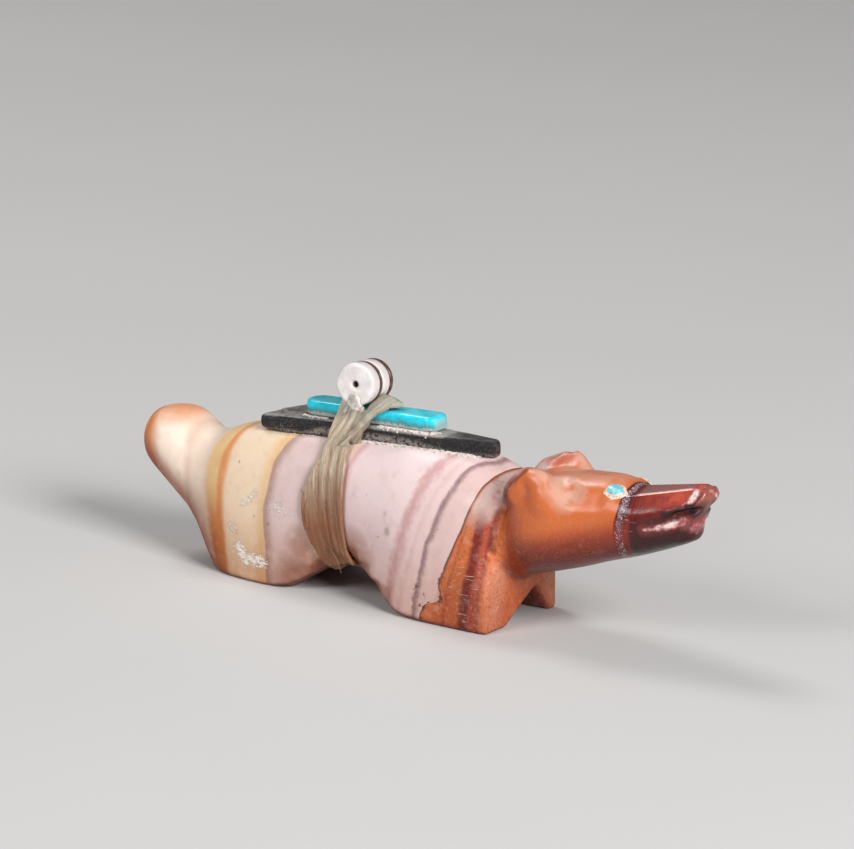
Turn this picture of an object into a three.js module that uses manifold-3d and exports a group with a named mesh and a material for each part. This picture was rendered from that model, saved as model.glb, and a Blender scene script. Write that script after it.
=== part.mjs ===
// A small standing animal carved from one piece of banded stone, with inlaid eyes and a bundle on its back:
// a long black stone point, a turquoise slab and a stack of shell beads, bound on by a flat band of sinew.
// Millimetres, +X towards the nose, +Y towards the animal's left, +Z up, standing on its feet at z = 0.
import * as THREE from "three";
import { mergeVertices } from "three/addons/utils/BufferGeometryUtils.js";
import Module from "manifold-3d";

const wasm = await Module();
wasm.setup();

// Driving dimensions
const carvingLength = 60; // tail to nose
const share = carvingLength / 60; // the animal's proportions are given in sixtieths of its length
const fitGap = 0.06; // glue line between two pieces that touch

const pointLength = 24.4; // black stone point
const pointBaseWidth = 5.2;
const pointTipWidth = 1.2;
const pointThickness = 1.5;
const pointEdge = 0.25; // rounding of its edges
const pointTail = -14.7 * share; // where its base end lies on the back
const bundleSide = 0.25; // the bundle lies a little to the animal's left
const bundleBase = 13.0 * share; // height of the underside of the point at its base end
const bundlePitch = 0.037; // rise of the bundle towards the head, per millimetre

const turquoiseLength = 14.35;
const turquoiseWidth = 2.7;
const turquoiseThickness = 1.32;
const turquoiseEdge = 0.4; // rounding of its upper edges
const turquoiseStart = 3.85; // from the base end of the point to its tail end
const turquoiseSide = 0.25; // it lies this much to the left of the point's middle line

const beadRadius = 1.86;
const beadBore = 0.3;
const beadEdge = 0.16; // rounding of the rims
const shellBeadThickness = 1.42;
const thinBeadThickness = 0.26;
const endBeadThickness = 0.44;
const beadStart = 6.85; // from the tail end of the turquoise to the middle of the near bead
const beadSide = -0.49; // the stack's middle lies this much to the right of the bundle's middle line
const beadTurn = 0.17; // turn of the stack about +Z, in radians
const beadTilt = 0.1; // and its near end is lifted by this much

const sinewThickness = 0.4;
const sinewGap = 0.2; // between the band and what it is wound on
const sinewSteps = 60; // around the body
const sinewColumns = 5; // across the band

const eyeRadius = 0.58;
const eyeDepth = 0.8;
const eyeProud = 0.1;
const socketProud = 1.5; // the socket's cutter reaches this far out past the skin

// Rings of points that the animal's skin is drawn with
const bodyGrid = 1.3; // spacing along the body, in shares
const headGrid = 0.75; // and along the head
const sectionSteps = 48; // round each section

// Signed distances, negative inside, and the ways they are joined
const mix = (a, b, t) => a + (b - a) * t;

function smoothUnion(a, b, k) {
  const h = Math.max(k - Math.abs(a - b), 0) / k;
  return Math.min(a, b) - (h * h * k) / 4;
}

function smoothCut(a, b, k) {
  return -smoothUnion(-a, b, k);
}

// A smooth curve through a list of stations, which are given at their first column and read at another one
function spline(stations, x, column) {
  const last = stations.length - 1;
  if (x <= stations[0][0]) return stations[0][column];
  if (x >= stations[last][0]) return stations[last][column];
  const i = stations.findIndex((station) => station[0] >= x) - 1;
  const slope = (j) => {
    const before = stations[Math.max(j - 1, 0)];
    const after = stations[Math.min(j + 1, last)];
    return (after[column] - before[column]) / (after[0] - before[0]);
  };
  const run = stations[i + 1][0] - stations[i][0];
  const t = (x - stations[i][0]) / run;
  return (
    (2 * t ** 3 - 3 * t ** 2 + 1) * stations[i][column] +
    (t ** 3 - 2 * t ** 2 + t) * run * slope(i) +
    (3 * t ** 2 - 2 * t ** 3) * stations[i + 1][column] +
    (t ** 3 - t ** 2) * run * slope(i + 1)
  );
}

// A mass that runs along X through stations of
// [x, underside, top, half width, squareness above, squareness below]
function lofted(stations, endRound, x, y, z) {
  const low = spline(stations, x, 1);
  const high = spline(stations, x, 2);
  const wide = spline(stations, x, 3);
  const tall = (high - low) / 2;
  const middle = (high + low) / 2;
  const square = spline(stations, x, z > middle ? 4 : 5);
  const norm = ((Math.abs(y) / wide) ** square + (Math.abs(z - middle) / tall) ** square) ** (1 / square);
  const side = (norm - 1) * Math.min(wide, tall);
  const ends = Math.max(stations[0][0] - x, x - stations[stations.length - 1][0]);
  return smoothCut(side, -ends, endRound);
}

function roundCone(a, b, radiusA, radiusB, x, y, z) {
  const d = [b[0] - a[0], b[1] - a[1], b[2] - a[2]];
  const p = [x - a[0], y - a[1], z - a[2]];
  const along = (p[0] * d[0] + p[1] * d[1] + p[2] * d[2]) / (d[0] ** 2 + d[1] ** 2 + d[2] ** 2);
  const t = Math.min(Math.max(along, 0), 1);
  const away = Math.hypot(p[0] - t * d[0], p[1] - t * d[1], p[2] - t * d[2]);
  return away - mix(radiusA, radiusB, t);
}

// Trunk, from rump to shoulders, carried on below the soles
const trunk = [
  [-21.0, 1.6, 11.1, 3.5, 2.1, 2.4],
  [-17.4, -2.6, 12.7, 4.7, 2.4, 3.2],
  [-12.8, -4.4, 13.5, 5.0, 2.5, 4.4],
  [-9.2, -4.2, 13.6, 4.85, 2.5, 4.4],
  [-5.6, -0.6, 13.8, 4.2, 2.4, 3.0],
  [-1.4, -1.6, 14.0, 4.65, 2.5, 3.6],
  [3.6, -5.0, 14.1, 5.4, 2.5, 6.0],
  [9.2, -5.4, 13.9, 5.4, 2.3, 6.4],
  [12.4, -5.4, 13.1, 5.2, 2.2, 6.4],
];
// Head, from the neck crease to the nose
const head = [
  [11.6, 4.6, 12.8, 2.8, 2.4, 2.2],
  [13.2, 4.5, 13.2, 3.7, 3.0, 2.2],
  [15.0, 5.0, 13.6, 4.4, 3.4, 2.3],
  [17.4, 5.7, 14.05, 4.4, 2.8, 2.3],
  [19.6, 6.4, 14.35, 3.95, 2.3, 2.2],
  [22.0, 7.3, 14.5, 3.45, 2.3, 2.3],
  [24.2, 8.0, 14.1, 3.15, 2.3, 2.3],
  [27.6, 9.3, 14.7, 2.55, 2.4, 2.3],
  [30.2, 10.5, 15.15, 2.0, 2.4, 2.2],
  [31.5, 11.4, 15.2, 1.6, 2.2, 2.2],
];
// Each ear is a low ridge from its root behind, over two places of its crest, down to the cheek:
// [x, distance from the middle, height, radius]
const rightEar = [
  [13.6, 3.1, 12.4, 1.1],
  [15.0, 3.15, 13.85, 1.05],
  [16.2, 3.1, 13.75, 1.0],
  [16.9, 3.1, 12.3, 1.35],
];
const leftEar = [
  [12.9, 3.0, 12.6, 1.35],
  [14.8, 3.35, 14.05, 0.85],
  [15.4, 3.35, 14.05, 0.8],
  [16.1, 3.2, 12.3, 1.3],
];
const lipFront = 30.2; // the lower jaw ends here, and the nose reaches out over it
const lipBend = 0.28; // rounding of the jaw's end, seen from above
const tailTop = 13.1; // the tail is ground flat above
// The mouth and the nostril are filed grooves, each from one end to the other:
// [x, distance from the middle, height, radius]
const mouthRear = [26.6, 3.1, 11.6, 0.35];
const mouthFront = [31.4, 1.75, 13.2, 0.75];
const nostrilLow = [29.7, 2.2, 13.7, 0.3];
const nostrilHigh = [29.9, 1.3, 14.9, 0.25];
const noseUnder = [30.4, 12.7]; // x and height of a place on the nose's underside
const noseSlope = 1.5; // how steeply the underside rises forwards
// Belly arch: a straight hind slope, a hollow front slope and the rounding between them
const bellyArch = { hind: -9.6, hindRise: 0.65, front: 2.8, frontRise: 0.58, frontBend: 0.035, round: 0.8 };

function bodyDistance(x, y, z) {
  const hindSlope = z - (x - bellyArch.hind) * bellyArch.hindRise;
  const back = bellyArch.front - x;
  const frontSlope = z - back * (bellyArch.frontRise + back * bellyArch.frontBend);
  let d = lofted(trunk, 0.7, x, y, z);
  d = smoothCut(d, smoothCut(hindSlope, -frontSlope, bellyArch.round), 0.4);
  const hindNotch = Math.max(Math.hypot(y - 0.4, z + 1.0) - 2.8, x + 4);
  d = smoothCut(d, hindNotch, 0.5);
  const nearWall = z * 0.85 - (y + 2.2) * 0.52;
  const farWall = (y - 3.9) * 0.9 + z * 0.43;
  d = smoothCut(d, smoothCut(Math.max(nearWall, 1 - x), -farWall, 0.8), 0.4);
  const neckSide = roundCone([14.2, 9.9, 7.6], [14.4, 9.6, 16], 6.0, 6.3, x, Math.abs(y), z);
  d = smoothCut(d, neckSide, 1.0);
  const neckTop = Math.hypot(x - 12.7, z - 16.5) - 4.1;
  d = smoothCut(d, neckTop, 0.8);
  const chest = roundCone([9.4, 0, 7.6], [12.8, 0, 8.1], 3.6, 3.3, x, y, z);
  d = smoothUnion(d, chest, 1.2);
  const tail = roundCone([-19.3, 0, 5.7], [-25.0, 0, 10.0], 3.6, 3.45, x, y, z);
  return smoothUnion(d, smoothCut(tail, tailTop - z, 0.9), 1.0);
}

function headDistance(x, y, z) {
  const side = Math.abs(y);
  let d = lofted(head, 1.2, x, y, z);
  const [root, rear, front, foot] = y > 0 ? leftEar : rightEar;
  const earRear = roundCone(root, rear, root[3], rear[3], x, side, z);
  const earCrest = roundCone(rear, front, rear[3], front[3], x, side, z);
  const earFront = roundCone(front, foot, front[3], foot[3], x, side, z);
  d = smoothUnion(d, smoothUnion(Math.min(earRear, earCrest), earFront, 0.3), 0.8);
  const mouth = roundCone(mouthRear, mouthFront, mouthRear[3], mouthFront[3], x, side, z);
  d = smoothCut(d, mouth, 0.3);
  const [underX, underHeight] = noseUnder;
  const underNose = (z - underHeight - noseSlope * (x - underX)) / Math.hypot(1, noseSlope);
  const lip = Math.max(lipFront - lipBend * side ** 2 - x, underNose);
  d = smoothCut(d, lip, 0.4);
  const nostril = roundCone(nostrilLow, nostrilHigh, nostrilLow[3], nostrilHigh[3], x, side, z);
  return smoothCut(d, nostril, 0.3);
}

function animal(x, y, z) {
  const place = [x / share, y / share, z / share];
  return smoothUnion(bodyDistance(...place), headDistance(...place), 0.6) * share;
}

// Slope of the animal's distance, which points straight out of its skin
function animalSlope(x, y, z) {
  const small = 0.02;
  const here = animal(x, y, z);
  const steps = [animal(x + small, y, z), animal(x, y + small, z), animal(x, y, z + small)];
  return steps.map((value) => (value - here) / small);
}

// Height of the middle that each section of the animal is drawn round: [x, height]
const spine = [
  [-29, 10.2],
  [-24, 9.4],
  [-19, 7.8],
  [-12, 7.6],
  [0, 8.2],
  [10, 8.8],
  [13.5, 9.2],
  [20, 10.6],
  [26, 11.9],
  [29, 12.8],
  [30.2, 13.7],
  [31.5, 14.3],
];
const tailMiddle = [-24, 10.2]; // from here the skin's two ends are looked for, along X
const noseMiddle = [30.6, 14.3];
const legFront = trunk[trunk.length - 1][0];

// How far the skin lies from a place inside the animal, in one direction
function skinReach(from, direction) {
  const along = (reach) => from.map((value, m) => value + reach * direction[m]);
  let far = 0.3 * share;
  while (animal(...along(far)) < 0) far += 0.3 * share;
  let near = far - 0.3 * share;
  for (let turn = 0; turn < 16; turn++) {
    const middle = (near + far) / 2;
    if (animal(...along(middle)) < 0) near = middle;
    else far = middle;
  }
  return near;
}

// Places of the rings along the animal, closer together at the round ends, the leg fronts and the lip
function ringPlaces(tailEnd, noseEnd) {
  const tailRound = 3.4;
  const noseRound = 0.9;
  const rounded = (end, round, angles) => {
    return angles.map((angle) => end + round * (1 - Math.cos(THREE.MathUtils.degToRad(angle))));
  };
  const places = rounded(tailEnd, tailRound, [15, 32, 50, 68]);
  for (let x = tailEnd + tailRound; x < 9.4; x += bodyGrid) places.push(x);
  for (let x = 10; x < legFront - 0.6; x += headGrid) places.push(x);
  places.push(legFront - 0.3, legFront + 0.1);
  for (let x = legFront + 0.7; x < lipFront - 0.6; x += headGrid) places.push(x);
  places.push(lipFront - 0.25, lipFront + 0.15);
  places.push(...rounded(noseEnd, -noseRound, [62, 38, 18]));
  return places;
}

// The closed skin of the animal: rings of points round its spine, and one point at each end
function animalGeometry() {
  const ends = [tailMiddle, noseMiddle].map(([x, z]) => {
    const from = [x * share, 0, z * share];
    const way = Math.sign(x);
    return [from[0] + way * skinReach(from, [way, 0, 0]), 0, from[2]];
  });
  const places = ringPlaces(ends[0][0] / share, ends[1][0] / share);
  const points = [ends[0]];
  for (const x of places) {
    const middle = [x * share, 0, spline(spine, x, 1) * share];
    for (let step = 0; step < sectionSteps; step++) {
      const angle = ((step + 0.5) / sectionSteps) * 2 * Math.PI;
      const direction = [0, Math.cos(angle), Math.sin(angle)];
      const reach = skinReach(middle, direction);
      points.push(middle.map((value, m) => value + reach * direction[m]));
    }
  }
  points.push(ends[1]);

  const faces = [];
  const apart = (p, q) => Math.hypot(...points[p].map((value, m) => value - points[q][m]));
  const last = points.length - 1;
  const lastRing = last - sectionSteps;
  for (let step = 0; step < sectionSteps; step++) {
    const after = (step + 1) % sectionSteps;
    faces.push(0, 1 + after, 1 + step, last, lastRing + step, lastRing + after);
    for (let ring = 1; ring < lastRing; ring += sectionSteps) {
      const [a, b] = [ring + step, ring + after];
      const [c, d] = [b + sectionSteps, a + sectionSteps];
      if (apart(a, c) <= apart(b, d)) faces.push(a, b, c, a, c, d);
      else faces.push(a, b, d, b, c, d);
    }
  }
  return meshGeometry(points, faces);
}

function meshGeometry(points, faces) {
  const geometry = new THREE.BufferGeometry();
  geometry.setAttribute("position", new THREE.Float32BufferAttribute(points.flat(), 3));
  geometry.setIndex(faces);
  return geometry;
}

// A three.js geometry as a solid that can be cut, and back
function solidOf(geometry) {
  const bare = new THREE.BufferGeometry();
  bare.setAttribute("position", geometry.getAttribute("position"));
  bare.setIndex(geometry.getIndex());
  const merged = mergeVertices(bare, 1e-4);
  const vertProperties = new Float32Array(merged.getAttribute("position").array);
  const triVerts = new Uint32Array(merged.getIndex().array);
  return new wasm.Manifold(new wasm.Mesh({ numProp: 3, vertProperties, triVerts }));
}

function geometryOf(solid) {
  const mesh = solid.getMesh();
  const geometry = new THREE.BufferGeometry();
  geometry.setAttribute("position", new THREE.BufferAttribute(mesh.vertProperties, 3));
  geometry.setIndex(new THREE.BufferAttribute(mesh.triVerts, 1));
  return geometry;
}

// A flat plate: a closed outline, counterclockwise, stacked in layers of [height, inset]
function plateGeometry(outline, layers) {
  const count = outline.length;
  const inward = outline.map((_, i) => {
    const before = outline[(i + count - 1) % count];
    const after = outline[(i + 1) % count];
    return new THREE.Vector2(before.y - after.y, after.x - before.x).normalize();
  });
  const points = layers.flatMap(([height, inset]) =>
    outline.map((p, i) => [p.x + inward[i].x * inset, p.y + inward[i].y * inset, height]),
  );
  const faces = [];
  for (let layer = 0; layer < layers.length - 1; layer++) {
    for (let i = 0; i < count; i++) {
      const a = layer * count + i;
      const b = layer * count + ((i + 1) % count);
      faces.push(a, b, b + count, a, b + count, a + count);
    }
  }
  const top = (layers.length - 1) * count;
  for (const [a, b, c] of THREE.ShapeUtils.triangulateShape(outline, [])) {
    faces.push(a, c, b, top + a, top + b, top + c);
  }
  return meshGeometry(points, faces);
}

// Layers of a plate whose edges are rounded below and above
function roundedLayers(thickness, below, above) {
  return [
    [0, below],
    [below * 0.3, below * 0.3],
    [below, 0],
    [thickness - above, 0],
    [thickness - above * 0.3, above * 0.3],
    [thickness, above],
  ];
}

// Outline of the black point, grown by a clearance: a blunt base, a long taper and a small round tip
function pointOutline(clearance) {
  const base = pointBaseWidth / 2 + clearance;
  const tip = pointTipWidth / 2 + clearance;
  const shoulder = mix(base, tip, 0.42);
  const waist = mix(base, tip, 0.58);
  const end = pointLength + clearance;
  const corner = 0.8;
  const half = [
    [-clearance, base - corner],
    [-clearance + corner * 0.3, base - corner * 0.3],
    [-clearance + corner, base],
    [pointLength * 0.28, shoulder],
    [pointLength * 0.72, waist],
    [end - tip, tip],
    [end - tip * 0.3, tip * 0.7],
    [end, tip * 0.2],
  ];
  const left = half.map(([x, y]) => new THREE.Vector2(x, y));
  const right = half.map(([x, y]) => new THREE.Vector2(x, -y));
  return [...right, ...left.reverse()];
}

function turquoiseOutline() {
  const half = turquoiseWidth / 2;
  const corner = half * 0.7;
  const shape = new THREE.Shape();
  shape.absarc(turquoiseLength - corner, half - corner, corner, 0, Math.PI / 2);
  shape.absarc(half, 0, half, Math.PI / 2, (3 * Math.PI) / 2);
  shape.absarc(turquoiseLength - corner, corner - half, corner, -Math.PI / 2, 0);
  return shape.getPoints(4).filter((p, i, all) => i === 0 || p.distanceTo(all[i - 1]) > 0.01);
}

// Ring round the axis of a bead, with rounded rims
function beadGeometry(thickness) {
  const edge = Math.min(beadEdge, thickness / 3);
  const profile = [
    [beadBore, 0],
    [beadRadius - edge, 0],
    [beadRadius, edge],
    [beadRadius, thickness - edge],
    [beadRadius - edge, thickness],
    [beadBore, thickness],
    [beadBore, 0],
  ];
  return new THREE.LatheGeometry(profile.map(([r, h]) => new THREE.Vector2(r, h)), 22);
}

const materials = {
  stone: new THREE.MeshStandardMaterial({ color: 0xdcc0b4, roughness: 0.3, metalness: 0 }),
  black: new THREE.MeshStandardMaterial({ color: 0x1c191a, roughness: 0.45, metalness: 0 }),
  turquoise: new THREE.MeshStandardMaterial({ color: 0x1fc4d6, roughness: 0.35, metalness: 0 }),
  eye: new THREE.MeshStandardMaterial({ color: 0x6fc6c8, roughness: 0.35, metalness: 0 }),
  shell: new THREE.MeshStandardMaterial({ color: 0xe9e4e2, roughness: 0.3, metalness: 0 }),
  brownShell: new THREE.MeshStandardMaterial({ color: 0x4a2a22, roughness: 0.35, metalness: 0 }),
  sinew: new THREE.MeshStandardMaterial({ color: 0x9b8468, roughness: 0.5, metalness: 0 }),
};

function piece(name, geometry, material) {
  const mesh = new THREE.Mesh(geometry, materials[material]);
  mesh.name = name;
  return mesh;
}

// Bundle: a group that lies on the back, pitched up towards the head
const bundle = new THREE.Group();
bundle.position.set(pointTail, bundleSide, bundleBase);
bundle.rotation.y = -Math.atan(bundlePitch);
const pointLayers = roundedLayers(pointThickness, pointEdge, pointEdge);
const point = piece("black_point", plateGeometry(pointOutline(0), pointLayers), "black");
const turquoiseLayers = roundedLayers(turquoiseThickness, 0.1, turquoiseEdge);
const turquoise = piece("turquoise_slab", plateGeometry(turquoiseOutline(), turquoiseLayers), "turquoise");
turquoise.position.set(turquoiseStart, turquoiseSide, pointThickness + fitGap);
bundle.add(point, turquoise);

// Beads: side by side across the body, on top of the turquoise
const beadList = [
  ["shell_bead_near", shellBeadThickness, "shell"],
  ["brown_bead_middle", thinBeadThickness, "brownShell"],
  ["shell_bead_far", shellBeadThickness, "shell"],
  ["brown_bead_far", endBeadThickness, "brownShell"],
];
const beadRow = beadList.reduce((sum, [, thickness]) => sum + thickness + fitGap, 0);
const beadPlace = pointTail + turquoiseStart + beadStart;
const beadNearFace = bundleSide + beadSide - beadRow / 2;
const bundleTop = bundleBase + (beadPlace - pointTail) * bundlePitch + pointThickness + turquoiseThickness;
const beads = new THREE.Group();
const beadLift = beadRow * Math.sin(beadTilt);
beads.position.set(beadPlace, beadNearFace, bundleTop + 3 * fitGap + beadRadius + beadLift);
beads.rotation.set(-beadTilt, 0, beadTurn, "ZYX");
let beadFace = 0;
for (const [name, thickness, material] of beadList) {
  const bead = piece(name, beadGeometry(thickness), material);
  bead.position.y = beadFace;
  beads.add(bead);
  beadFace += thickness + fitGap;
}

// Eyes: short round pegs with domed tops, set square to the skin in sockets of their own
function eyeGeometry(radius, depth, dome) {
  const profile = [
    [0, -depth],
    [radius, -depth],
    [radius, 0],
    [radius * 0.6, dome * 0.7],
    [0, dome],
  ];
  return new THREE.LatheGeometry(profile.map(([r, h]) => new THREE.Vector2(r, h)), 12);
}

function eyePlace(side) {
  const from = new THREE.Vector3(23.15, 0, 11.2).multiplyScalar(share);
  const towards = new THREE.Vector3(0, 0.58 * side, 0.81);
  let [near, far] = [0, 6 * share];
  for (let turn = 0; turn < 30; turn++) {
    const middle = (near + far) / 2;
    const probe = from.clone().addScaledVector(towards, middle);
    if (animal(probe.x, probe.y, probe.z) < 0) near = middle;
    else far = middle;
  }
  const place = new THREE.Object3D();
  place.position.copy(from).addScaledVector(towards, near);
  const out = new THREE.Vector3(...animalSlope(...place.position.toArray())).normalize();
  place.quaternion.setFromUnitVectors(new THREE.Vector3(0, 1, 0), out);
  place.updateMatrix();
  return place;
}

const eyes = [["eye_right", -1], ["eye_left", 1]].map(([name, side]) => {
  const eye = piece(name, eyeGeometry(eyeRadius, eyeDepth, eyeProud), "eye");
  const place = eyePlace(side);
  eye.position.copy(place.position);
  eye.quaternion.copy(place.quaternion);
  return eye;
});

// Carved stone: the animal's skin, cut flat at the soles, with the seat of the point and the eye sockets
const skin = animalGeometry();
const ground = new THREE.BoxGeometry(carvingLength * 2, carvingLength, 20 * share);
ground.translate(0, 0, -10 * share);
bundle.updateMatrix();
const seat = plateGeometry(pointOutline(fitGap), [[-fitGap, 0], [pointThickness * 3, 0]]);
seat.applyMatrix4(bundle.matrix);
const sockets = eyes.map((eye) => {
  eye.updateMatrix();
  const socket = eyeGeometry(eyeRadius + fitGap, eyeDepth + fitGap, socketProud);
  return socket.applyMatrix4(eye.matrix);
});
let carving = solidOf(skin);
for (const cutter of [ground, seat, ...sockets]) carving = carving.subtract(solidOf(cutter));
const stone = piece("stone_animal", geometryOf(carving), "stone");

// Sinew: a flat band pulled tight round the body and the bundle, with its middle opened under the beads.
// Its two edges run at places from the middle of the near bead, the same on both sides of the body:
// [turn up from level, tail edge, head edge, lift of the middle]
const bandEdges = [
  [-90, -0.5, 1.8, 0],
  [-64, -0.9, 1.7, 0],
  [-52, -2.9, 1.0, 0],
  [-38, -3.7, 0.6, 0],
  [-18, -3.6, 0.5, 0],
  [15, -2.7, 0.3, 0],
  [30, -2.6, 0.0, 0],
  [66, -2.5, 0.2, 0],
  [81, -2.4, 2.7, 0.5],
  [90, -2.3, 3.7, 0.8],
];
const bandMiddle = new THREE.Vector2(0, 11 * share);
const bandOpening = { halfWidth: 1.3, near: beadNearFace + 0.2, far: beadNearFace + beadRow + 1 };

function worldTriangles(mesh) {
  mesh.updateWorldMatrix(true, false);
  const flat = mesh.geometry.index ? mesh.geometry.toNonIndexed() : mesh.geometry.clone();
  const position = flat.applyMatrix4(mesh.matrixWorld).getAttribute("position");
  const corners = [];
  for (let i = 0; i < position.count; i++) {
    corners.push([position.getX(i), position.getY(i), position.getZ(i)]);
  }
  return corners.flatMap((_, i) => (i % 3 ? [] : [corners.slice(i, i + 3)]));
}

// Places where the plane at x crosses the triangles, seen from the middle of the band
function sectionPlaces(triangles, x) {
  const places = [];
  for (const corners of triangles) {
    corners.forEach((a, k) => {
      const b = corners[(k + 1) % 3];
      if (a[0] < x === b[0] < x) return;
      const t = (x - a[0]) / (b[0] - a[0]);
      places.push(new THREE.Vector2(mix(a[1], b[1], t), mix(a[2], b[2], t)).sub(bandMiddle));
    });
  }
  return places;
}

// The tightest loop round a set of places, counterclockwise
function tightLoop(places) {
  const chain = (list) => {
    const kept = [];
    for (const p of list) {
      while (kept.length > 1) {
        const [a, b] = kept.slice(-2);
        if ((b.x - a.x) * (p.y - a.y) - (b.y - a.y) * (p.x - a.x) > 1e-9) break;
        kept.pop();
      }
      kept.push(p);
    }
    return kept.slice(0, -1);
  };
  const sorted = [...places].sort((a, b) => a.x - b.x || a.y - b.y);
  const under = chain(sorted);
  return [...under, ...chain(sorted.reverse())];
}

// How far the loop lies from the middle in one direction
function loopRadius(loop, direction) {
  let radius = 0;
  loop.forEach((a, i) => {
    const edge = loop[(i + 1) % loop.length].clone().sub(a);
    const across = direction.cross(edge);
    if (across < 1e-9) return;
    const t = a.cross(direction) / across;
    if (t > -1e-6 && t < 1 + 1e-6) radius = Math.max(radius, a.cross(edge) / across);
  });
  return radius;
}

function sinewGeometry(triangles) {
  const turns = Array.from({ length: sinewSteps }, (_, step) => (step / sinewSteps) * 2 * Math.PI);
  const directions = turns.map((turn) => new THREE.Vector2(Math.cos(turn), Math.sin(turn)));
  const columns = [];
  for (let column = 0; column <= sinewColumns; column++) {
    const across = column / sinewColumns;
    const rays = directions.map((direction) => {
      const level = THREE.MathUtils.radToDeg(Math.asin(direction.y));
      const x = beadPlace + mix(spline(bandEdges, level, 1), spline(bandEdges, level, 2), across);
      const lift = spline(bandEdges, level, 3) * Math.sin(Math.PI * across);
      const loop = tightLoop(sectionPlaces(triangles, x));
      return { x, lift, loop, radius: loopRadius(loop, direction) };
    });
    // Corners of the loop between two rays push both of them out, so that the band clears them
    rays.forEach((ray, step) => {
      const after = (step + 1) % sinewSteps;
      for (const corner of ray.loop) {
        const [low, high] = [directions[step].cross(corner), corner.cross(directions[after])];
        if (low < 0 || high < 0) continue;
        const chord = [directions[step].clone(), directions[after].clone()];
        const [a, b] = [chord[0].multiplyScalar(ray.radius), chord[1].multiplyScalar(rays[after].radius)];
        const excess = loopRadius([a, b], corner.clone().normalize()) / corner.length();
        if (excess > 0 && excess < 1) {
          ray.radius /= excess;
          rays[after].radius /= excess;
        }
      }
    });
    columns.push(rays);
  }

  const points = [];
  for (const rays of columns) {
    for (const thickness of [0, sinewThickness]) {
      rays.forEach(({ x, lift, radius }, step) => {
        const out = radius + sinewGap + lift + thickness;
        const place = directions[step].clone().multiplyScalar(out).add(bandMiddle);
        points.push([x, place.x, place.y]);
      });
    }
  }
  const faces = [];
  const strip = (from, to) => {
    for (let step = 0; step < sinewSteps; step++) {
      const after = (step + 1) % sinewSteps;
      faces.push(from + step, from + after, to + after, from + step, to + after, to + step);
    }
  };
  const pair = 2 * sinewSteps;
  for (let column = 0; column < sinewColumns; column++) {
    strip((column + 1) * pair, column * pair);
    strip(column * pair + sinewSteps, (column + 1) * pair + sinewSteps);
  }
  strip(0, sinewSteps);
  strip(sinewColumns * pair + sinewSteps, sinewColumns * pair);
  return meshGeometry(points, faces);
}

// The opening is a pointed oval seen from above, and the band stays clear of the beads
function openingGeometry() {
  const { halfWidth, near, far } = bandOpening;
  const middle = (near + far) / 2;
  const shape = new THREE.Shape();
  shape.moveTo(0, near);
  shape.quadraticCurveTo(2 * halfWidth, middle, 0, far);
  shape.quadraticCurveTo(-2 * halfWidth, middle, 0, near);
  const depth = turquoiseThickness + 2 * beadRadius;
  const geometry = new THREE.ExtrudeGeometry(shape, { depth, bevelEnabled: false, curveSegments: 8 });
  return geometry.translate(beadPlace, 0, bundleTop - turquoiseThickness - 0.3);
}

function beadClearance() {
  const geometry = new THREE.CylinderGeometry(beadRadius + fitGap, beadRadius + fitGap, beadRow + 1, 24);
  beads.updateMatrix();
  return geometry.translate(0, beadRow / 2, 0).applyMatrix4(beads.matrix);
}

const bundled = [stone, point, turquoise];
let band = solidOf(sinewGeometry(bundled.flatMap(worldTriangles)));
for (const cutter of [openingGeometry(), beadClearance()]) band = band.subtract(solidOf(cutter));
const sinew = piece("sinew_wrap", geometryOf(band), "sinew");

// The whole object, with its middle over the origin
const fetish = new THREE.Group();
fetish.add(stone, ...eyes, bundle, beads, sinew);
const extent = new THREE.Box3().setFromObject(fetish);
const centre = extent.getCenter(new THREE.Vector3());
fetish.position.set(-centre.x, -centre.y, -extent.min.z);

export default fetish;
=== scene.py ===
import random
from math import cos, pi, radians, sin

import bpy
import numpy as np
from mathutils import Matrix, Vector


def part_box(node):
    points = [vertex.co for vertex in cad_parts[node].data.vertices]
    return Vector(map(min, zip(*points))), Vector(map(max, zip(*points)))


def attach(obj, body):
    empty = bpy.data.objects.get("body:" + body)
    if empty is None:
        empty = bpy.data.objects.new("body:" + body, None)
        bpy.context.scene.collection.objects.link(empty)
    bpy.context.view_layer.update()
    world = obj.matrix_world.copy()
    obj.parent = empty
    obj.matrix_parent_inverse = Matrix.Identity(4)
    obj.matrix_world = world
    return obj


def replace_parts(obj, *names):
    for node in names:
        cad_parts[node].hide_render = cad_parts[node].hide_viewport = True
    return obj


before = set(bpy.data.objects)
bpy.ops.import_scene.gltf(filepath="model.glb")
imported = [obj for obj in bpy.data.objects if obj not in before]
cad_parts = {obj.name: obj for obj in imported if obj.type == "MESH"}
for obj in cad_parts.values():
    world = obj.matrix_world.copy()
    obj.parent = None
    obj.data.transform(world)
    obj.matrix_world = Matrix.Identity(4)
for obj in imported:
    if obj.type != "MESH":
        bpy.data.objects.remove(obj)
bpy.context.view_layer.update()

# The animal is carved whole from a small block of banded travertine. The carver saws and grinds it to shape,
# works the creases, mouth and nostrils with a small file, and polishes it: the head and snout to a full
# gloss, the feet less.
mm = 0.001


def hold(piece):
    """Leaves this piece alone selected and active, as a hand picks it up."""
    bpy.ops.object.select_all(action="DESELECT")
    piece.select_set(True)
    bpy.context.view_layer.objects.active = piece


def placed(name, data):
    """A new object in the scene."""
    made = bpy.data.objects.new(name, data)
    bpy.context.scene.collection.objects.link(made)
    return made


def copy_of(cad_name, name):
    """A copy of a solid with its loose triangles joined, ready to be worked on."""
    piece = placed(name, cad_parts[cad_name].data.copy())
    hold(piece)
    bpy.ops.object.mode_set(mode="EDIT")
    bpy.ops.mesh.select_all(action="SELECT")
    bpy.ops.mesh.remove_doubles(threshold=0.001 * mm)
    bpy.ops.object.mode_set(mode="OBJECT")
    return piece


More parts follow.
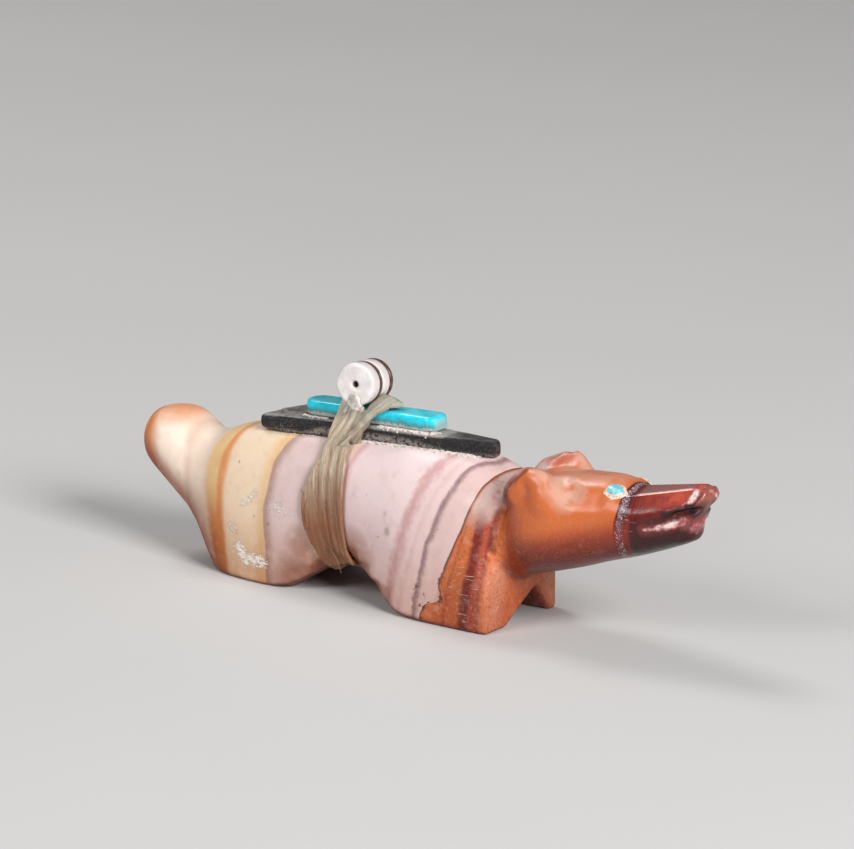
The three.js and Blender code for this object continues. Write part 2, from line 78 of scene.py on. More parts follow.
def work(piece, kind, **settings):
    """Adds one modifier and applies it."""
    modifier = piece.modifiers.new(kind.lower(), kind)
    for setting, value in settings.items():
        setattr(modifier, setting, value)
    hold(piece)
    bpy.ops.object.modifier_apply(modifier=modifier.name)


def join_to(piece, extras):
    """Joins pieces that are fused with this one."""
    hold(piece)
    for extra in extras:
        extra.select_set(True)
    bpy.ops.object.join()


def lump(place, radii, turn=(0, 0, 0), segments=40):
    """A rounded swelling, by its middle and its three half widths in millimetres."""
    bpy.ops.object.select_all(action="DESELECT")
    spot = Vector(place) * mm
    bpy.ops.mesh.primitive_uv_sphere_add(
        segments=segments, ring_count=segments // 2, radius=mm, location=spot, rotation=turn
    )
    made = bpy.context.object
    made.scale = radii
    bpy.ops.object.transform_apply(location=True, rotation=True, scale=True)
    return made


def points_of(piece):
    """The places and the outward directions of a mesh's points, in millimetres."""
    count = len(piece.data.vertices)
    spots = np.empty(count * 3)
    ways = np.empty(count * 3)
    piece.data.vertices.foreach_get("co", spots)
    piece.data.vertex_normals.foreach_get("vector", ways)
    return spots.reshape(-1, 3) / mm, ways.reshape(-1, 3)


def put_points(piece, spots):
    piece.data.vertices.foreach_set("co", (spots * mm).ravel())
    piece.data.update()


def away_from(spots, path):
    """How far each point lies from a path of straight runs."""
    nearest = np.full(len(spots), 1e9)
    for start, end in zip(path, path[1:]):
        start = np.array(start, float)
        run = np.array(end, float) - start
        along = np.clip(((spots - start) @ run) / max(run @ run, 1e-9), 0, 1)
        nearest = np.minimum(nearest, np.linalg.norm(spots - start - along[:, None] * run, axis=1))
    return nearest


def on_skin(piece, path, both):
    """The path laid on the skin in short runs, and its mirror image too for a stroke on both sides."""
    bpy.context.view_layer.update()
    laid = []
    for side in (1, -1) if both else (1,):
        line = []
        for start, end in zip(path, path[1:] + path[-1:]):
            for step in range(4):
                spot = Vector(start).lerp(Vector(end), step / 4)
                spot.y *= side
                found, place, out, index = piece.closest_point_on_mesh(spot * mm)
                line.append(place / mm)
        laid.append(line)
    return laid


def file_strokes(piece, strokes):
    """Works the skin of both sides along paths: each stroke goes in by its depth, or out if that is
    negative, and fades over its width."""
    spots, ways = points_of(piece)
    moved = np.zeros(len(spots))
    for path, width, depth in strokes:
        for line in on_skin(piece, path, True):
            moved -= depth * np.clip(1 - (away_from(spots, line) / width) ** 2, 0, 1) ** 2
    put_points(piece, spots + ways * moved[:, None])


def polish(piece, middle, reach, rounds):
    """Rubs one place smooth: the skin within reach of a middle is evened out, and the rest is left."""
    spots, ways = points_of(piece)
    group = piece.vertex_groups.new(name="rubbed_and_ridge_highlight")
    near = np.clip((1 - np.linalg.norm(spots - middle, axis=1) / reach) * 3, 0, 1)
    steps = 8
    for step in range(1, steps + 1):
        chosen = np.nonzero((near > (step - 1) / steps) & (near <= step / steps))[0]
        group.add([int(index) for index in chosen], step / steps, "REPLACE")
    work(piece, "SMOOTH", factor=0.6, iterations=rounds, vertex_group="rubbed_and_ridge_highlight")
    piece.vertex_groups.clear()


def file_facets(piece, facets, path, width, fill):
    """Files flat facets, each through three points, around a path on both sides. Skin that stands out is
    cut to the nearest facet, and skin that lies a little deeper is brought out to it, fading at the depth
    of fill."""
    spots, ways = points_of(piece)
    for side in (1, -1):
        turned = spots * (1, side, 1)
        over = np.full(len(spots), -1e9)
        push = np.zeros((len(spots), 3))
        for corners in facets:
            first, second, third = np.array(corners, float)
            out = np.cross(second - first, third - first)
            out = out / np.linalg.norm(out) * (1 if out[2] > 0 else -1)
            above = (turned - first) @ out
            push[above > over] = out
            over = np.maximum(over, above)
        share = np.clip((1 - away_from(turned, path) / width) * 3, 0, 1) * (turned[:, 1] <= 0.001)
        share = share * np.clip(2 + 2 * over / fill, 0, 1)
        share = share * np.clip((push * ways * (1, side, 1)).sum(axis=1) * 3, 0, 1)
        spots = (turned - push * (over * share)[:, None]) * (1, side, 1)
    put_points(piece, spots)


def paint(piece, name, strokes):
    """Keeps a mask with the mesh for its material: each stroke is a path, its width and its strength."""
    spots, ways = points_of(piece)
    mask = np.zeros(len(spots))
    for path, width, strength, both in strokes:
        for line in on_skin(piece, path, both):
            mask = np.maximum(mask, strength * np.clip(1 - (away_from(spots, line) / width) ** 2, 0, 1))
    layer = piece.data.attributes.new(name, "FLOAT", "POINT")
    layer.data.foreach_set("value", np.minimum(mask, 1).astype(np.float32))


snout_path = [(24.2, -1.5, 13.8), (28.2, -1.3, 14.3)]
snout_top = [(24.0, 0, 14.30), (28.0, 0, 15.06), (24.0, -1.82, 13.83)]
snout_side = [(24.0, -1.82, 13.83), (28.0, -1.09, 14.78), (26.0, -2.61, 12.70)]

animal = copy_of("stone_animal", "carved_animal")
nose_pad = [lump((29.25, side * 0.45, 14.25), (0.65, 0.75, 0.85)) for side in (-1, 1)]
socket_fill = [lump((21.45, side * 1.75, 13.45), (0.9, 0.75, 0.6)) for side in (-1, 1)]
join_to(animal, nose_pad + socket_fill)
work(animal, "REMESH", mode="VOXEL", voxel_size=0.18 * mm)
file_facets(animal, [snout_top, snout_side], snout_path, 2.1, 0.5)

# The mouth is two flattened notches on each side, from the corner of the lips and on under the nose, each
# given by its rear and front ends and the radius there
mouth_cuts = [
    ((25.0, -3.0, 11.65), (28.8, -2.55, 13.0), 0.12, 0.80),
    ((27.4, -2.35, 12.75), (29.8, -1.3, 13.4), 0.42, 0.55),
]
for side in (1, -1):
    for rear, front, rear_size, front_size in mouth_cuts:
        rear = Vector(rear) * mm
        line = Vector(front) * mm - rear
        rear.y *= side
        line.y *= side
        bpy.ops.object.select_all(action="DESELECT")
        bpy.ops.mesh.primitive_cone_add(
            vertices=32,
            radius1=rear_size * mm,
            radius2=front_size * mm,
            depth=line.length,
            location=rear + line / 2,
            rotation=line.to_track_quat("Z", "Y").to_euler(),
        )
        notch = bpy.context.object
        notch.scale = (1.7, 0.62, 1)
        bpy.ops.object.transform_apply(location=True, rotation=True, scale=True)
        work(animal, "BOOLEAN", object=notch, operation="DIFFERENCE", solver="MANIFOLD")
        bpy.data.objects.remove(notch)
work(animal, "REMESH", mode="VOXEL", voxel_size=0.17 * mm)
work(animal, "SMOOTH", factor=0.5, iterations=3)

neck_crease = [
    (13.35, -3.7, 14.6),
    (12.5, -3.95, 13.8),
    (11.7, -4.0, 12.8),
    (11.25, -3.6, 11.6),
    (11.05, -3.6, 10.4),
    (10.75, -3.9, 8.7),
    (10.6, -4.15, 7.2),
]
lip_ledge = [
    (24.95, -2.75, 11.2), (26.1, -2.5, 11.5), (26.9, -2.3, 11.72), (27.6, -2.0, 12.05), (28.1, -1.75, 12.1)
]
nostril_rim = [(28.95, -1.05, 14.8), (28.75, -1.7, 14.1)]
nostril_notch = [(29.2, -0.6, 15.1), (29.2, -1.25, 14.5), (28.95, -1.75, 13.85), (28.6, -1.95, 13.5)]
hollow = [(16.4, -2.5, 13.8), (17.5, -3.0, 13.3)]
cheek = [(18.4, -3.4, 13.1), (20.2, -3.05, 13.1)]
polish(animal, (-21.5, 0, 9.5), 8.5, 30)
file_facets(animal, [snout_top, snout_side], snout_path, 1.9, 0.05)
for side in (-1, 1):
    polish(animal, (24.6, side * 2.65, 12.45), 1.8, 40)
    polish(animal, (26.0, side * 2.55, 12.75), 0.9, 30)
    polish(animal, (14.2, side * 3.7, 14.5), 1.6, 16)
file_strokes(
    animal,
    [
        (neck_crease, 0.6, 0.30),
        (neck_crease[3:], 1.4, 0.12),
        (hollow, 1.5, 0.3),
        (cheek, 1.3, 0.16),
        (lip_ledge, 0.45, -0.12),
        (nostril_rim, 0.35, -0.14),
        (nostril_notch, 0.38, 0.34),
    ],
)
work(animal, "SMOOTH", factor=0.35, iterations=1)
hold(animal)
bpy.ops.object.shade_smooth()

mouth_top = [
    (26.6, -2.3, 12.7), (27.5, -2.1, 13.0), (28.15, -1.9, 13.2), (28.7, -1.65, 13.35), (29.3, -1.1, 13.4)
]
mouth_inside = [(25.3, -2.6, 11.8), (26.6, -2.2, 12.25), (27.5, -1.9, 12.6), (28.3, -1.6, 12.85)]
lip_front = [(28.3, -1.7, 12.1), (28.9, 0, 11.9)]

# Masks for the colours: pale edges, partly a painted highlight; the redder lip; painted shade in the mouth,
# the nostril notch and the neck crease; the paler heart of the stone, in the hollow behind the eye partly a
# painted reflection; a red patch in the far ear; the brown haunch, low down partly painted shade; glue, file
# scratches, soot and one pitted spot
# Pale edges on the lip ledge, the nostril rim and the rim of the nose: partly the stone's pale edges, partly
# a painted highlight
paint(
    animal,
    "pale",
    [
        (lip_ledge[:2], 0.24, 0.75, True),
        (lip_ledge[1:3], 0.36, 0.85, True),
        (lip_ledge[2:4], 0.46, 1.05, True),
        ([lip_ledge[4], (28.5, -0.96, 11.7), (28.7, -0.3, 11.6)], 0.85, 0.5, True),
        (nostril_rim, 0.45, 1.15, True),
        ([(29.8, -0.2, 14.8), (29.8, 0.4, 14.4), (29.8, 0.7, 14.1)], 0.3, 0.8, False),
    ],
)
paint(animal, "lip red", [(lip_front, 0.9, 1.2, True), (lip_ledge, 0.7, 0.7, True)])
# Painted shade in the mouth, the nostril notch and the neck crease
paint(
    animal,
    "shade",
    [
        (mouth_top, 0.36, 1.3, True),
        ([(28.0, -1.8, 12.95), (28.6, -1.4, 13.1), (29.1, -0.8, 13.15)], 0.55, 1.3, True),
        (mouth_inside, 0.48, 0.6, True),
        (neck_crease, 0.42, 0.9, True),
        (nostril_notch[1:], 0.34, 1.2, True),
    ],
)
# The grey-pink heart of the stone; in the hollow behind the eye it is partly a painted reflection
paint(
    animal,
    "heart_and_reflection",
    [
        (hollow, 2.1, 1.2, True),
        ([(14.5, -1.5, 14.2), (20.5, -0.9, 14.4)], 1.7, 0.6, True),
        ([(14.6, 3.2, 14.3), (15.2, 3.2, 13.6)], 1.1, 0.9, True),
        ([(29.6, -0.5, 14.6), (29.7, 0.2, 13.8)], 1.1, 0.45, True),
        ([(11.7, -3.9, 4.8), (10.9, -4.2, 0.8)], 1.8, 0.45, True),
    ],
)
paint(animal, "ear patch", [([(12.3, 2.4, 13.7), (13.4, 2.9, 14.3)], 0.9, 1.2, False)])
# The brown of the haunch: partly a brown stain, and along its lower edge painted shade
haunch_low_brown_and_shade = [(-9.6, -4.4, 1.2), (-7.6, -4.1, 1.8), (-5.8, -4.1, 2.8), (-4.2, -4.3, 3.6)]
haunch_side = [(-9.4, -4.6, 4.4), (-8.6, -4.3, 2.3)]
paint(
    animal,
    "brown",
    [(haunch_low_brown_and_shade, 3.2, 0.85, True), (haunch_low_brown_and_shade[1:], 1.7, 1.3, True), (haunch_side, 1.9, 0.75, True)],
)
scuffs = [
    ([(-15.6, -4.9, 7.0), (-14.8, -4.9, 7.5), (-14.2, -4.8, 8.2)], 0.42, 0.75, False),
    ([(-17.0, -4.9, 4.8), (-16.4, -4.95, 4.2)], 0.45, 0.65, False),
    ([(-16.0, -5.0, 2.9), (-15.4, -5.0, 2.1), (-13.5, -5.0, 2.1)], 0.9, 1.0, False),
    ([(-12.4, -4.9, 7.4), (-11.2, -4.8, 6.9)], 0.9, 0.45, False),
]
paint(animal, "glue", scuffs)
file_scratches = [
    ([(9.0, -5.0, 4.6), (8.2, -4.9, 2.0)], 2.2, 1.0, True),
    ([(23.3, -3.0, 11.9), (24.2, -2.9, 11.2)], 0.9, 0.7, True),
]
paint(animal, "filed", file_scratches)
paint(
    animal,
    "sooty",
    [
        ([(3.5, -5.2, 3.0), (4.3, -5.2, 2.6)], 0.42, 1.0, False),
        ([(5.2, -5.1, 2.1), (4.2, -5.1, 1.4)], 0.42, 1.2, False),
        ([(5.7, -5.2, 4.1), (5.6, -5.2, 3.9)], 0.3, 1.0, False),
    ],
)
paint(
    animal,
    "pitted",
    [
        ([(0.25, -5.1, 7.4), (0.3, -5.1, 7.2)], 0.4, 1.0, False),
        ([(-0.1, -4.9, 8.8), (-0.1, -4.9, 8.7)], 0.22, 0.8, False),
    ],
)


def fill_in(made, inputs):
    """Gives each input of a shader node, by name or number, a value or another node's output."""
    for socket, value in inputs.items():
        if isinstance(value, bpy.types.NodeSocket):
            made.id_data.links.new(value, made.inputs[socket])
        else:
            made.inputs[socket].default_value = value


def node(tree, kind, inputs=None, **settings):
    """One shader node with its settings and inputs."""
    made = tree.nodes.new("ShaderNode" + kind)
    for setting, value in settings.items():
        setattr(made, setting, value)
    fill_in(made, inputs or {})
    return made


def tree_of(*values):
    """The node tree of the first of these values that is a socket."""
    return next(value.id_data for value in values if isinstance(value, bpy.types.NodeSocket))


def sums(operation, *values, clamp=False):
    """The result of one sum on numbers and sockets."""
    made = node(tree_of(*values), "Math", dict(enumerate(values)), operation=operation, use_clamp=clamp)
    return made.outputs[0]


def vectors(operation, *values, output=0):
    """The result of one sum on vectors."""
    return node(tree_of(*values), "VectorMath", dict(enumerate(values)), operation=operation).outputs[output]


def scaled(vector, factor):
    return node(vector.id_data, "VectorMath", {0: vector, 3: factor}, operation="SCALE").outputs[0]


def times(*values):
    result = values[0]
    for value in values[1:]:
        result = sums("MULTIPLY", result, value)
    return result


def less(*values):
    """What the product of these values leaves of 1."""
    return sums("SUBTRACT", 1.0, times(*values))


def ramp(value, low, high):
    """0 at low, 1 at high, with a soft step between them; low may be the greater."""
    if low > high:
        value, low, high = sums("MULTIPLY", value, -1), -low, -high
    values = {"Value": value, "From Min": low, "From Max": high}
    return node(value.id_data, "MapRange", values, interpolation_type="SMOOTHSTEP").outputs["Result"]


def blended(under, over, *shares, blend_type="MIX"):
    """The colour over laid on the colour under by the product of the shares."""
    share = times(*shares)
    made = node(share.id_data, "Mix", {"Factor": share}, data_type="RGBA", blend_type=blend_type)
    for socket, colour in ((6, under), (7, over)):
        fill_in(made, {socket: colour if isinstance(colour, bpy.types.NodeSocket) else (*colour, 1)})
    return made.outputs[2]


def noise(place, scale, detail=2.0, roughness=0.5, output="Fac"):
    values = {"Vector": place, "Scale": scale, "Detail": detail, "Roughness": roughness}
    return node(place.id_data, "TexNoise", values).outputs[output]


def stretched(place, scale):
    return node(place.id_data, "Mapping", {"Vector": place, "Scale": scale}).outputs[0]


def parts(vector):
    """The x, y and z of a vector."""
    return node(vector.id_data, "SeparateXYZ", {0: vector}).outputs


def painted(tree, name):
    return node(tree, "Attribute", attribute_name=name).outputs["Fac"]


def outward(tree):
    """The direction that the surface faces."""
    return node(tree, "NewGeometry").outputs["Normal"]


def bumped(height, strength):
    """The direction that the surface seems to face with a relief of this height in millimetres."""
    return node(height.id_data, "Bump", {"Height": height, "Strength": strength, "Distance": mm}).outputs[0]


def along_plane(place, level, lean_y, lean_z):
    """How far a place lies past a sloping plane: x minus the plane's x at that height and side."""
    return sums("SUBTRACT", vectors("DOT_PRODUCT", place, (1, -lean_y, -lean_z), output="Value"), level)


def new_material(name):
    """A material with its tree, its surface shader and the place on the piece in millimetres."""
    material = bpy.data.materials.new(name)
    material.use_nodes = True
    tree = material.node_tree
    place = stretched(node(tree, "TexCoord").outputs["Object"], (1 / mm, 1 / mm, 1 / mm))
    return material, tree, tree.nodes["Principled BSDF"], place


def cover(piece, material):
    piece.data.materials.clear()
    piece.data.materials.append(material)


def speck_group():
    """Small ragged specks, pits or grains: their size in millimetres and the share of cells that hold one."""
    group = bpy.data.node_groups.new("specks", "ShaderNodeTree")
    group.interface.new_socket("Place", in_out="INPUT", socket_type="NodeSocketVector")
    for name in ("Spacing", "Share", "Size"):
        group.interface.new_socket(name, in_out="INPUT", socket_type="NodeSocketFloat")
    group.interface.new_socket("Mask", in_out="OUTPUT", socket_type="NodeSocketFloat")
    given = group.nodes.new("NodeGroupInput").outputs
    cells_place = scaled(given["Place"], sums("DIVIDE", 1.0, given["Spacing"]))
    shaken = vectors("ADD", noise(cells_place, 2.5, 2, 0.6, "Color"), (-0.5, -0.5, -0.5))
    cells = node(group, "TexVoronoi", {"Vector": vectors("ADD", shaken, cells_place), "Scale": 1.0}).outputs
    chosen = node(group, "SeparateColor", {0: cells["Color"]}).outputs
    reach = times(given["Size"], sums("ADD", chosen[1], 0.4))
    spot = sums("SUBTRACT", 1.6, times(sums("DIVIDE", cells["Distance"], reach), 1.6), clamp=True)
    kept = sums("LESS_THAN", chosen[0], given["Share"])
    out = group.nodes.new("NodeGroupOutput")
    group.links.new(times(spot, kept), out.inputs["Mask"])
    return group


specks_group = speck_group()


def specks(place, spacing, share, size):
    made = place.id_data.nodes.new("ShaderNodeGroup")
    made.node_tree = specks_group
    fill_in(made, {"Place": place, "Spacing": spacing, "Share": share, "Size": size})
    return made.outputs["Mask"]


stone, tree, surface, place = new_material("banded travertine")
x, y, z = parts(place)

# The layers lean alike on both sides, less on the far one, and drift a little off their planes
near_y = sums("MINIMUM", y, times(y, -0.5))
folded = node(tree, "CombineXYZ", {0: x, 1: near_y, 2: z}).outputs[0]
drift = vectors("ADD", noise(place, 0.16, 2, 0.45, "Color"), (-0.5, -0.5, -0.5))
bent = vectors("ADD", folded, scaled(drift, 1.3))
ragged = sums("SUBTRACT", noise(place, 1.6, 4, 0.6), 0.5)
low_down = ramp(z, 7.0, 2.5)

# Low down, the edge of the orange stone steps towards the nose and then, at the foot, far back
jog = sums("ADD", times(ramp(z, 4.4, 2.2), -0.75), times(ramp(z, 2.25, 1.6), 1.6))
edge_lean = 0.35
past_edge = ramp(along_plane(bent, 4.6, -0.06, edge_lean), -0.1, 0.2)

# The layers of the stone from the tail to the nose: where each begins in millimetres, how that plane leans
# with y and with z, how softly it begins, how ragged its edge is high up and low down, and its colour
layers = [
    (-22.5, 0.05, -0.10, 1.0, 0.3, 0.3, (0.72, 0.53, 0.42)),
    (-21.7, 0.10, -0.10, 1.2, 0.3, 0.3, (0.84, 0.67, 0.54)),
    (-15.4, 0.80, -0.25, 1.1, 0.3, 0.4, (0.86, 0.57, 0.27)),
    (-16.1, 0.45, -0.09, 0.55, 0.2, 0.4, (0.76, 0.31, 0.10)),
    (-16.8, 0.21, -0.02, 0.80, 0.2, 0.4, (0.88, 0.68, 0.49)),
    (-13.1, 0.22, 0.05, 1.6, 0.5, 0.6, (0.78, 0.51, 0.26)),
    (-9.5, 0.69, -0.05, 0.22, 0.1, 0.15, (0.44, 0.28, 0.24)),
    (-8.85, 0.69, -0.05, 1.1, 0.3, 0.3, (0.69, 0.52, 0.50)),
    (-7.2, 0.45, 0.02, 1.2, 0.9, 0.9, (0.84, 0.62, 0.52)),
    (-3.5, 0.45, 0.00, 0.5, 0.5, 0.5, (0.74, 0.45, 0.43)),
    (-2.9, 0.45, 0.00, 0.9, 0.5, 0.5, (0.86, 0.68, 0.68)),
    (1.15, 0.31, 0.26, 1.0, 1.3, 1.3, (0.64, 0.37, 0.36)),
    (2.2, 0.31, 0.26, 1.2, 1.4, 1.4, (0.81, 0.61, 0.60)),
    (3.0, 0.31, 0.26, 0.5, 1.0, 1.4, (0.75, 0.52, 0.50)),
    (3.4, 0.31, 0.26, 0.7, 0.8, 1.4, (0.80, 0.59, 0.57)),
    (5.15, 0.38, 0.20, 0.35, 0.3, 0.7, (0.34, 0.20, 0.21)),
    (5.64, 0.38, 0.20, 0.60, 0.5, 0.8, (0.74, 0.52, 0.49)),
    (4.37, -0.06, edge_lean, 0.12, 0.15, 1.2, (0.12, 0.03, 0.03)),
    (4.55, -0.06, edge_lean, 0.30, 0.3, 1.2, (0.60, 0.16, 0.04)),
    (5.7, -0.10, 0.22, 0.5, 0.9, 0.9, (0.38, 0.06, 0.015)),
    (6.0, -0.10, 0.20, 0.5, 0.9, 0.9, (0.56, 0.14, 0.035)),
    (6.6, -0.28, 0.14, 0.7, 0.8, 0.8, (0.17, 0.010, 0.004)),
    (7.5, -0.28, 0.14, 0.6, 0.8, 0.8, (0.42, 0.07, 0.03)),
    (9.3, -0.10, 0.07, 0.30, 0.5, 0.5, (0.26, 0.03, 0.015)),
    (9.6, -0.10, 0.07, 0.5, 0.5, 0.5, (0.62, 0.145, 0.035)),
    (21.0, -0.11, 0.085, 0.16, 0.2, 0.2, (0.09, 0.012, 0.012)),
    (21.28, -0.11, 0.085, 0.16, 0.4, 0.4, (0.20, 0.11, 0.14)),
    (21.62, -0.11, 0.085, 0.12, 0.3, 0.3, (0.07, 0.01, 0.01)),
    (21.95, -0.11, 0.085, 0.50, 0.2, 0.2, (0.17, 0.014, 0.010)),
]
colour = (0.95, 0.77, 0.64)
starts = {}
for level, lean_y, lean_z, soft, ragged_high, ragged_low, shade in layers:
    past = along_plane(bent, level, lean_y, lean_z)
    roughly = sums("ADD", ragged_high, times(low_down, ragged_low - ragged_high))
    past = sums("ADD", past, times(ragged, roughly))
    if lean_z == edge_lean:
        past = sums("ADD", past, jog)
    begun = ramp(past, -soft / 2, soft / 2)
    # The orange and red layers of the chest stop at that edge
    if 5.65 < level < 10:
        begun = times(begun, past_edge)
    starts[level] = begun
    colour = blended(colour, shade, begun)

# The ochre and orange bands are deeper low down
bands = times(starts[-15.4], less(starts[-16.8]), ramp(z, 9.0, 3.0))
colour = blended(colour, (0.68, 0.23, 0.04), bands)

# High on the shoulder the orange layers pale to a greyish pink
shoulder = times(ramp(z, 8.2, 11.0), ramp(x, 4.0, 5.0))
shoulder = times(shoulder, ramp(along_plane(place, 4.6, 0, 0.6), 0.2, -0.5))
patchy = noise(place, 0.7, 4, 0.6)
shoulder = times(shoulder, ramp(patchy, 0.25, 0.45))
colour = blended(colour, (0.58, 0.40, 0.36), shoulder, past_edge, 0.9)

# The head pales to the grey-pink heart of the stone in the hollow behind the eye, on the crown, the far ear
# and the nose; in the hollow this pale grey-pink is partly a painted reflection. The snout is redder high on
# its side and nearly black below, where the black is partly painted shade
colour = blended(colour, (0.69, 0.37, 0.27), painted(tree, "heart_and_reflection"), ramp(patchy, 0.2, 0.5))
colour = blended(colour, (0.48, 0.09, 0.04), painted(tree, "ear patch"), 0.8)
snout = ramp(along_plane(bent, 22.1, -0.11, 0.085), 0, 0.4)
snout_height = sums("SUBTRACT", z, times(x, 0.19))
redder = times(snout, ramp(snout_height, 7.9, 8.8), ramp(x, 23.2, 27.0))
colour = blended(colour, (0.50, 0.075, 0.045), redder, ramp(patchy, 0.15, 0.6))
# Low on the snout it is painted nearly black: maroon stone darkened further by painted shade on the lower jaw
colour = blended(colour, (0.050, 0.003, 0.003), snout, ramp(snout_height, 8.0, 6.9), 0.95)
colour = blended(colour, (0.34, 0.05, 0.045), painted(tree, "lip red"), 0.8)
# Painted shade darkens the underside of the head and the chest below it
under_head_shade = times(ramp(x, 11.5, 14.0), ramp(sums("SUBTRACT", z, times(x, 0.3)), 5.6, 3.4))
colour = blended(colour, (0.27, 0.025, 0.006), under_head_shade, less(snout), 0.85)
# Painted shade: dark red in the neck crease, near black in the mouth and the nostril notch
in_crease = ramp(x, 16.0, 15.0)
colour = blended(colour, (0.17, 0.016, 0.008), painted(tree, "shade"), in_crease, 0.8)
colour = blended(colour, (0.03, 0.004, 0.004), painted(tree, "shade"), less(in_crease), 0.97)
# The pale edges of the lip, nostril and nose are laid on here, partly a painted highlight
torn = sums("SUBTRACT", noise(place, 3.0, 4, 0.65), 0.5)
pale = sums("ADD", painted(tree, "pale"), times(torn, 1.8))
pale_and_highlight_tone = blended((0.50, 0.24, 0.25), (0.86, 0.63, 0.58), ramp(pale, 0.6, 1.2))
pale_and_highlight = times(ramp(pale, 0.15, 0.95), ramp(painted(tree, "pale"), 0.02, 0.3))
colour = blended(colour, pale_and_highlight_tone, pale_and_highlight)

# The top facet of the snout is painted greyer as a painted reflection, and a painted highlight runs along the
# two ridges at its sides
ridge_slope = 0.2375
ridge_start = 8.13
above_ridge = sums("SUBTRACT", sums("SUBTRACT", z, times(x, ridge_slope)), ridge_start)
before_nose = times(snout, ramp(x, 28.7, 28.2))
colour = blended(colour, (0.26, 0.13, 0.13), before_nose, ramp(above_ridge, 0.02, 0.12), 0.75)
rubbed_and_ridge_highlight = ramp(sums("ABSOLUTE", sums("ADD", above_ridge, times(torn, 0.06))), 0.10, 0.03)
colour = blended(colour, (0.84, 0.52, 0.47), before_nose, rubbed_and_ridge_highlight, 0.8)
nose = times(snout, ramp(x, 28.9, 29.5), less(pale_and_highlight))
colour = blended(colour, (0.25, 0.08, 0.06), nose, 0.75)

# The tail's end and top edge carry an orange stain
tail_end = ramp(sums("ADD", x, times(z, 0.15)), -24.5, -26.3)
tail_top = times(ramp(z, 11.4, 13.2), ramp(x, -22.5, -25.0), 0.85)
tail_rim = times(sums("MAXIMUM", tail_end, tail_top), ramp(noise(place, 0.35, 3), 0.05, 0.4))
colour = blended(colour, (0.78, 0.26, 0.07), tail_rim)

# Low down the stone is darker and more yellow, partly its colour and partly painted shade; surfaces that face
# down get painted shade; the brown of the haunch is partly painted shade; and everywhere it is faintly
# mottled
normal = parts(outward(tree))
up = sums("ADD", normal[2], times(sums("MINIMUM", normal[0], 0.1), 0.75))
rear_part = sums("ADD", 0.55, times(sums("MAXIMUM", ramp(x, -6.0, -12.0), past_edge), 0.45))
colour = blended(colour, (0.72, 0.55, 0.42), ramp(z, 7.0, 1.0), rear_part, 0.8, blend_type="MULTIPLY")
# Painted shade on the surfaces that face down
colour = blended(colour, (0.36, 0.12, 0.045), ramp(up, 0.15, -0.7), 0.95, blend_type="MULTIPLY")
# The brown of the haunch, darkest along its lower edge: partly stain, partly painted shade
colour = blended(
    colour, (0.42, 0.20, 0.11), painted(tree, "brown"), ramp(patchy, 0.1, 0.6), blend_type="MULTIPLY"
)
mottle = noise(place, 0.9, 5, 0.6)
off_head = sums("ADD", 0.02, times(ramp(x, 12.5, 10.0), 0.13))
off_snout = times(ramp(x, 21.8, 21.0), 0.16)
colour = blended(colour, (0.95, 0.82, 0.76), ramp(mottle, 0.5, 0.75), off_head)
colour = blended(colour, (0.40, 0.20, 0.15), ramp(mottle, 0.5, 0.25), off_snout)

# Fine crystals glitter in the orange layers and in the vein; black and brown specks sit in the pale ones
crystals = noise(stretched(place, (1.0, 1.0, 0.7)), 5.0, 3, 0.7)
darkest = times(starts[6.6], less(starts[7.5]))
red_stone = times(past_edge, ramp(z, 12.5, 7.5), ramp(x, 15.0, 11.5))
red_stone = times(red_stone, less(darkest, 0.75))
colour = blended(colour, (0.72, 0.27, 0.09), ramp(crystals, 0.54, 0.68), red_stone, 0.4)
colour = blended(colour, (0.22, 0.03, 0.01), ramp(crystals, 0.46, 0.34), red_stone, 0.6)
head_grain = times(ramp(x, 12.0, 13.5), ramp(x, 21.5, 20.8), ramp(crystals, 0.52, 0.68))
colour = blended(colour, (0.80, 0.38, 0.22), head_grain, 0.14)
in_vein = times(
    ramp(along_plane(bent, 21.2, -0.11, 0.085), -0.1, 0.05),
    ramp(along_plane(bent, 21.75, -0.11, 0.085), 0.1, -0.05),
)
vein_low = ramp(z, 12.8, 11.6)
fine_crystals = noise(place, 8.0, 2, 0.6)
flecks = ramp(sums("SUBTRACT", fine_crystals, times(vein_low, 0.04)), 0.52, 0.60)
colour = blended(colour, (0.70, 0.60, 0.66), in_vein, flecks, 0.75)
colour = blended(colour, (0.12, 0.03, 0.035), in_vein, ramp(crystals, 0.48, 0.40))
pale_stone = less(past_edge, 0.7)
pits = sums("MAXIMUM", specks(place, 0.8, 0.14, 0.14), specks(place, 1.9, 0.16, 0.09))
past_grey = along_plane(bent, 5.35, 0.38, 0.20)
grey_line = times(ramp(past_grey, -0.5, -0.1), ramp(past_grey, 0.5, 0.2))
colour = blended(colour, (0.16, 0.10, 0.11), grey_line, specks(place, 0.35, 0.5, 0.3), 0.6)
colour = blended(colour, (0.22, 0.15, 0.14), pits, pale_stone, 0.55)
colour = blended(colour, (0.36, 0.27, 0.21), painted(tree, "pitted"), 0.7)
soot = times(painted(tree, "sooty"), ramp(noise(place, 2.6, 3, 0.6), 0.55, 0.62))
colour = blended(colour, (0.03, 0.02, 0.02), soot)

# White glue residue and pale file scratches lie on the skin
scratches = ramp(noise(stretched(place, (0.8, 0.8, 9.0)), 1.0, 3, 0.6), 0.58, 0.66)
scratches = times(scratches, ramp(noise(place, 1.3, 2), 0.42, 0.55), painted(tree, "filed"))
colour = blended(colour, (0.82, 0.56, 0.46), scratches, 0.75)
residue = noise(stretched(place, (1.0, 1.0, 2.2)), 2.4, 5, 0.75)
residue = ramp(sums("ADD", residue, times(painted(tree, "glue"), 0.20)), 0.60, 0.68)
residue = times(residue, sums("GREATER_THAN", painted(tree, "glue"), 0.02))
colour = blended(colour, (0.93, 0.88, 0.82), residue, 0.8)

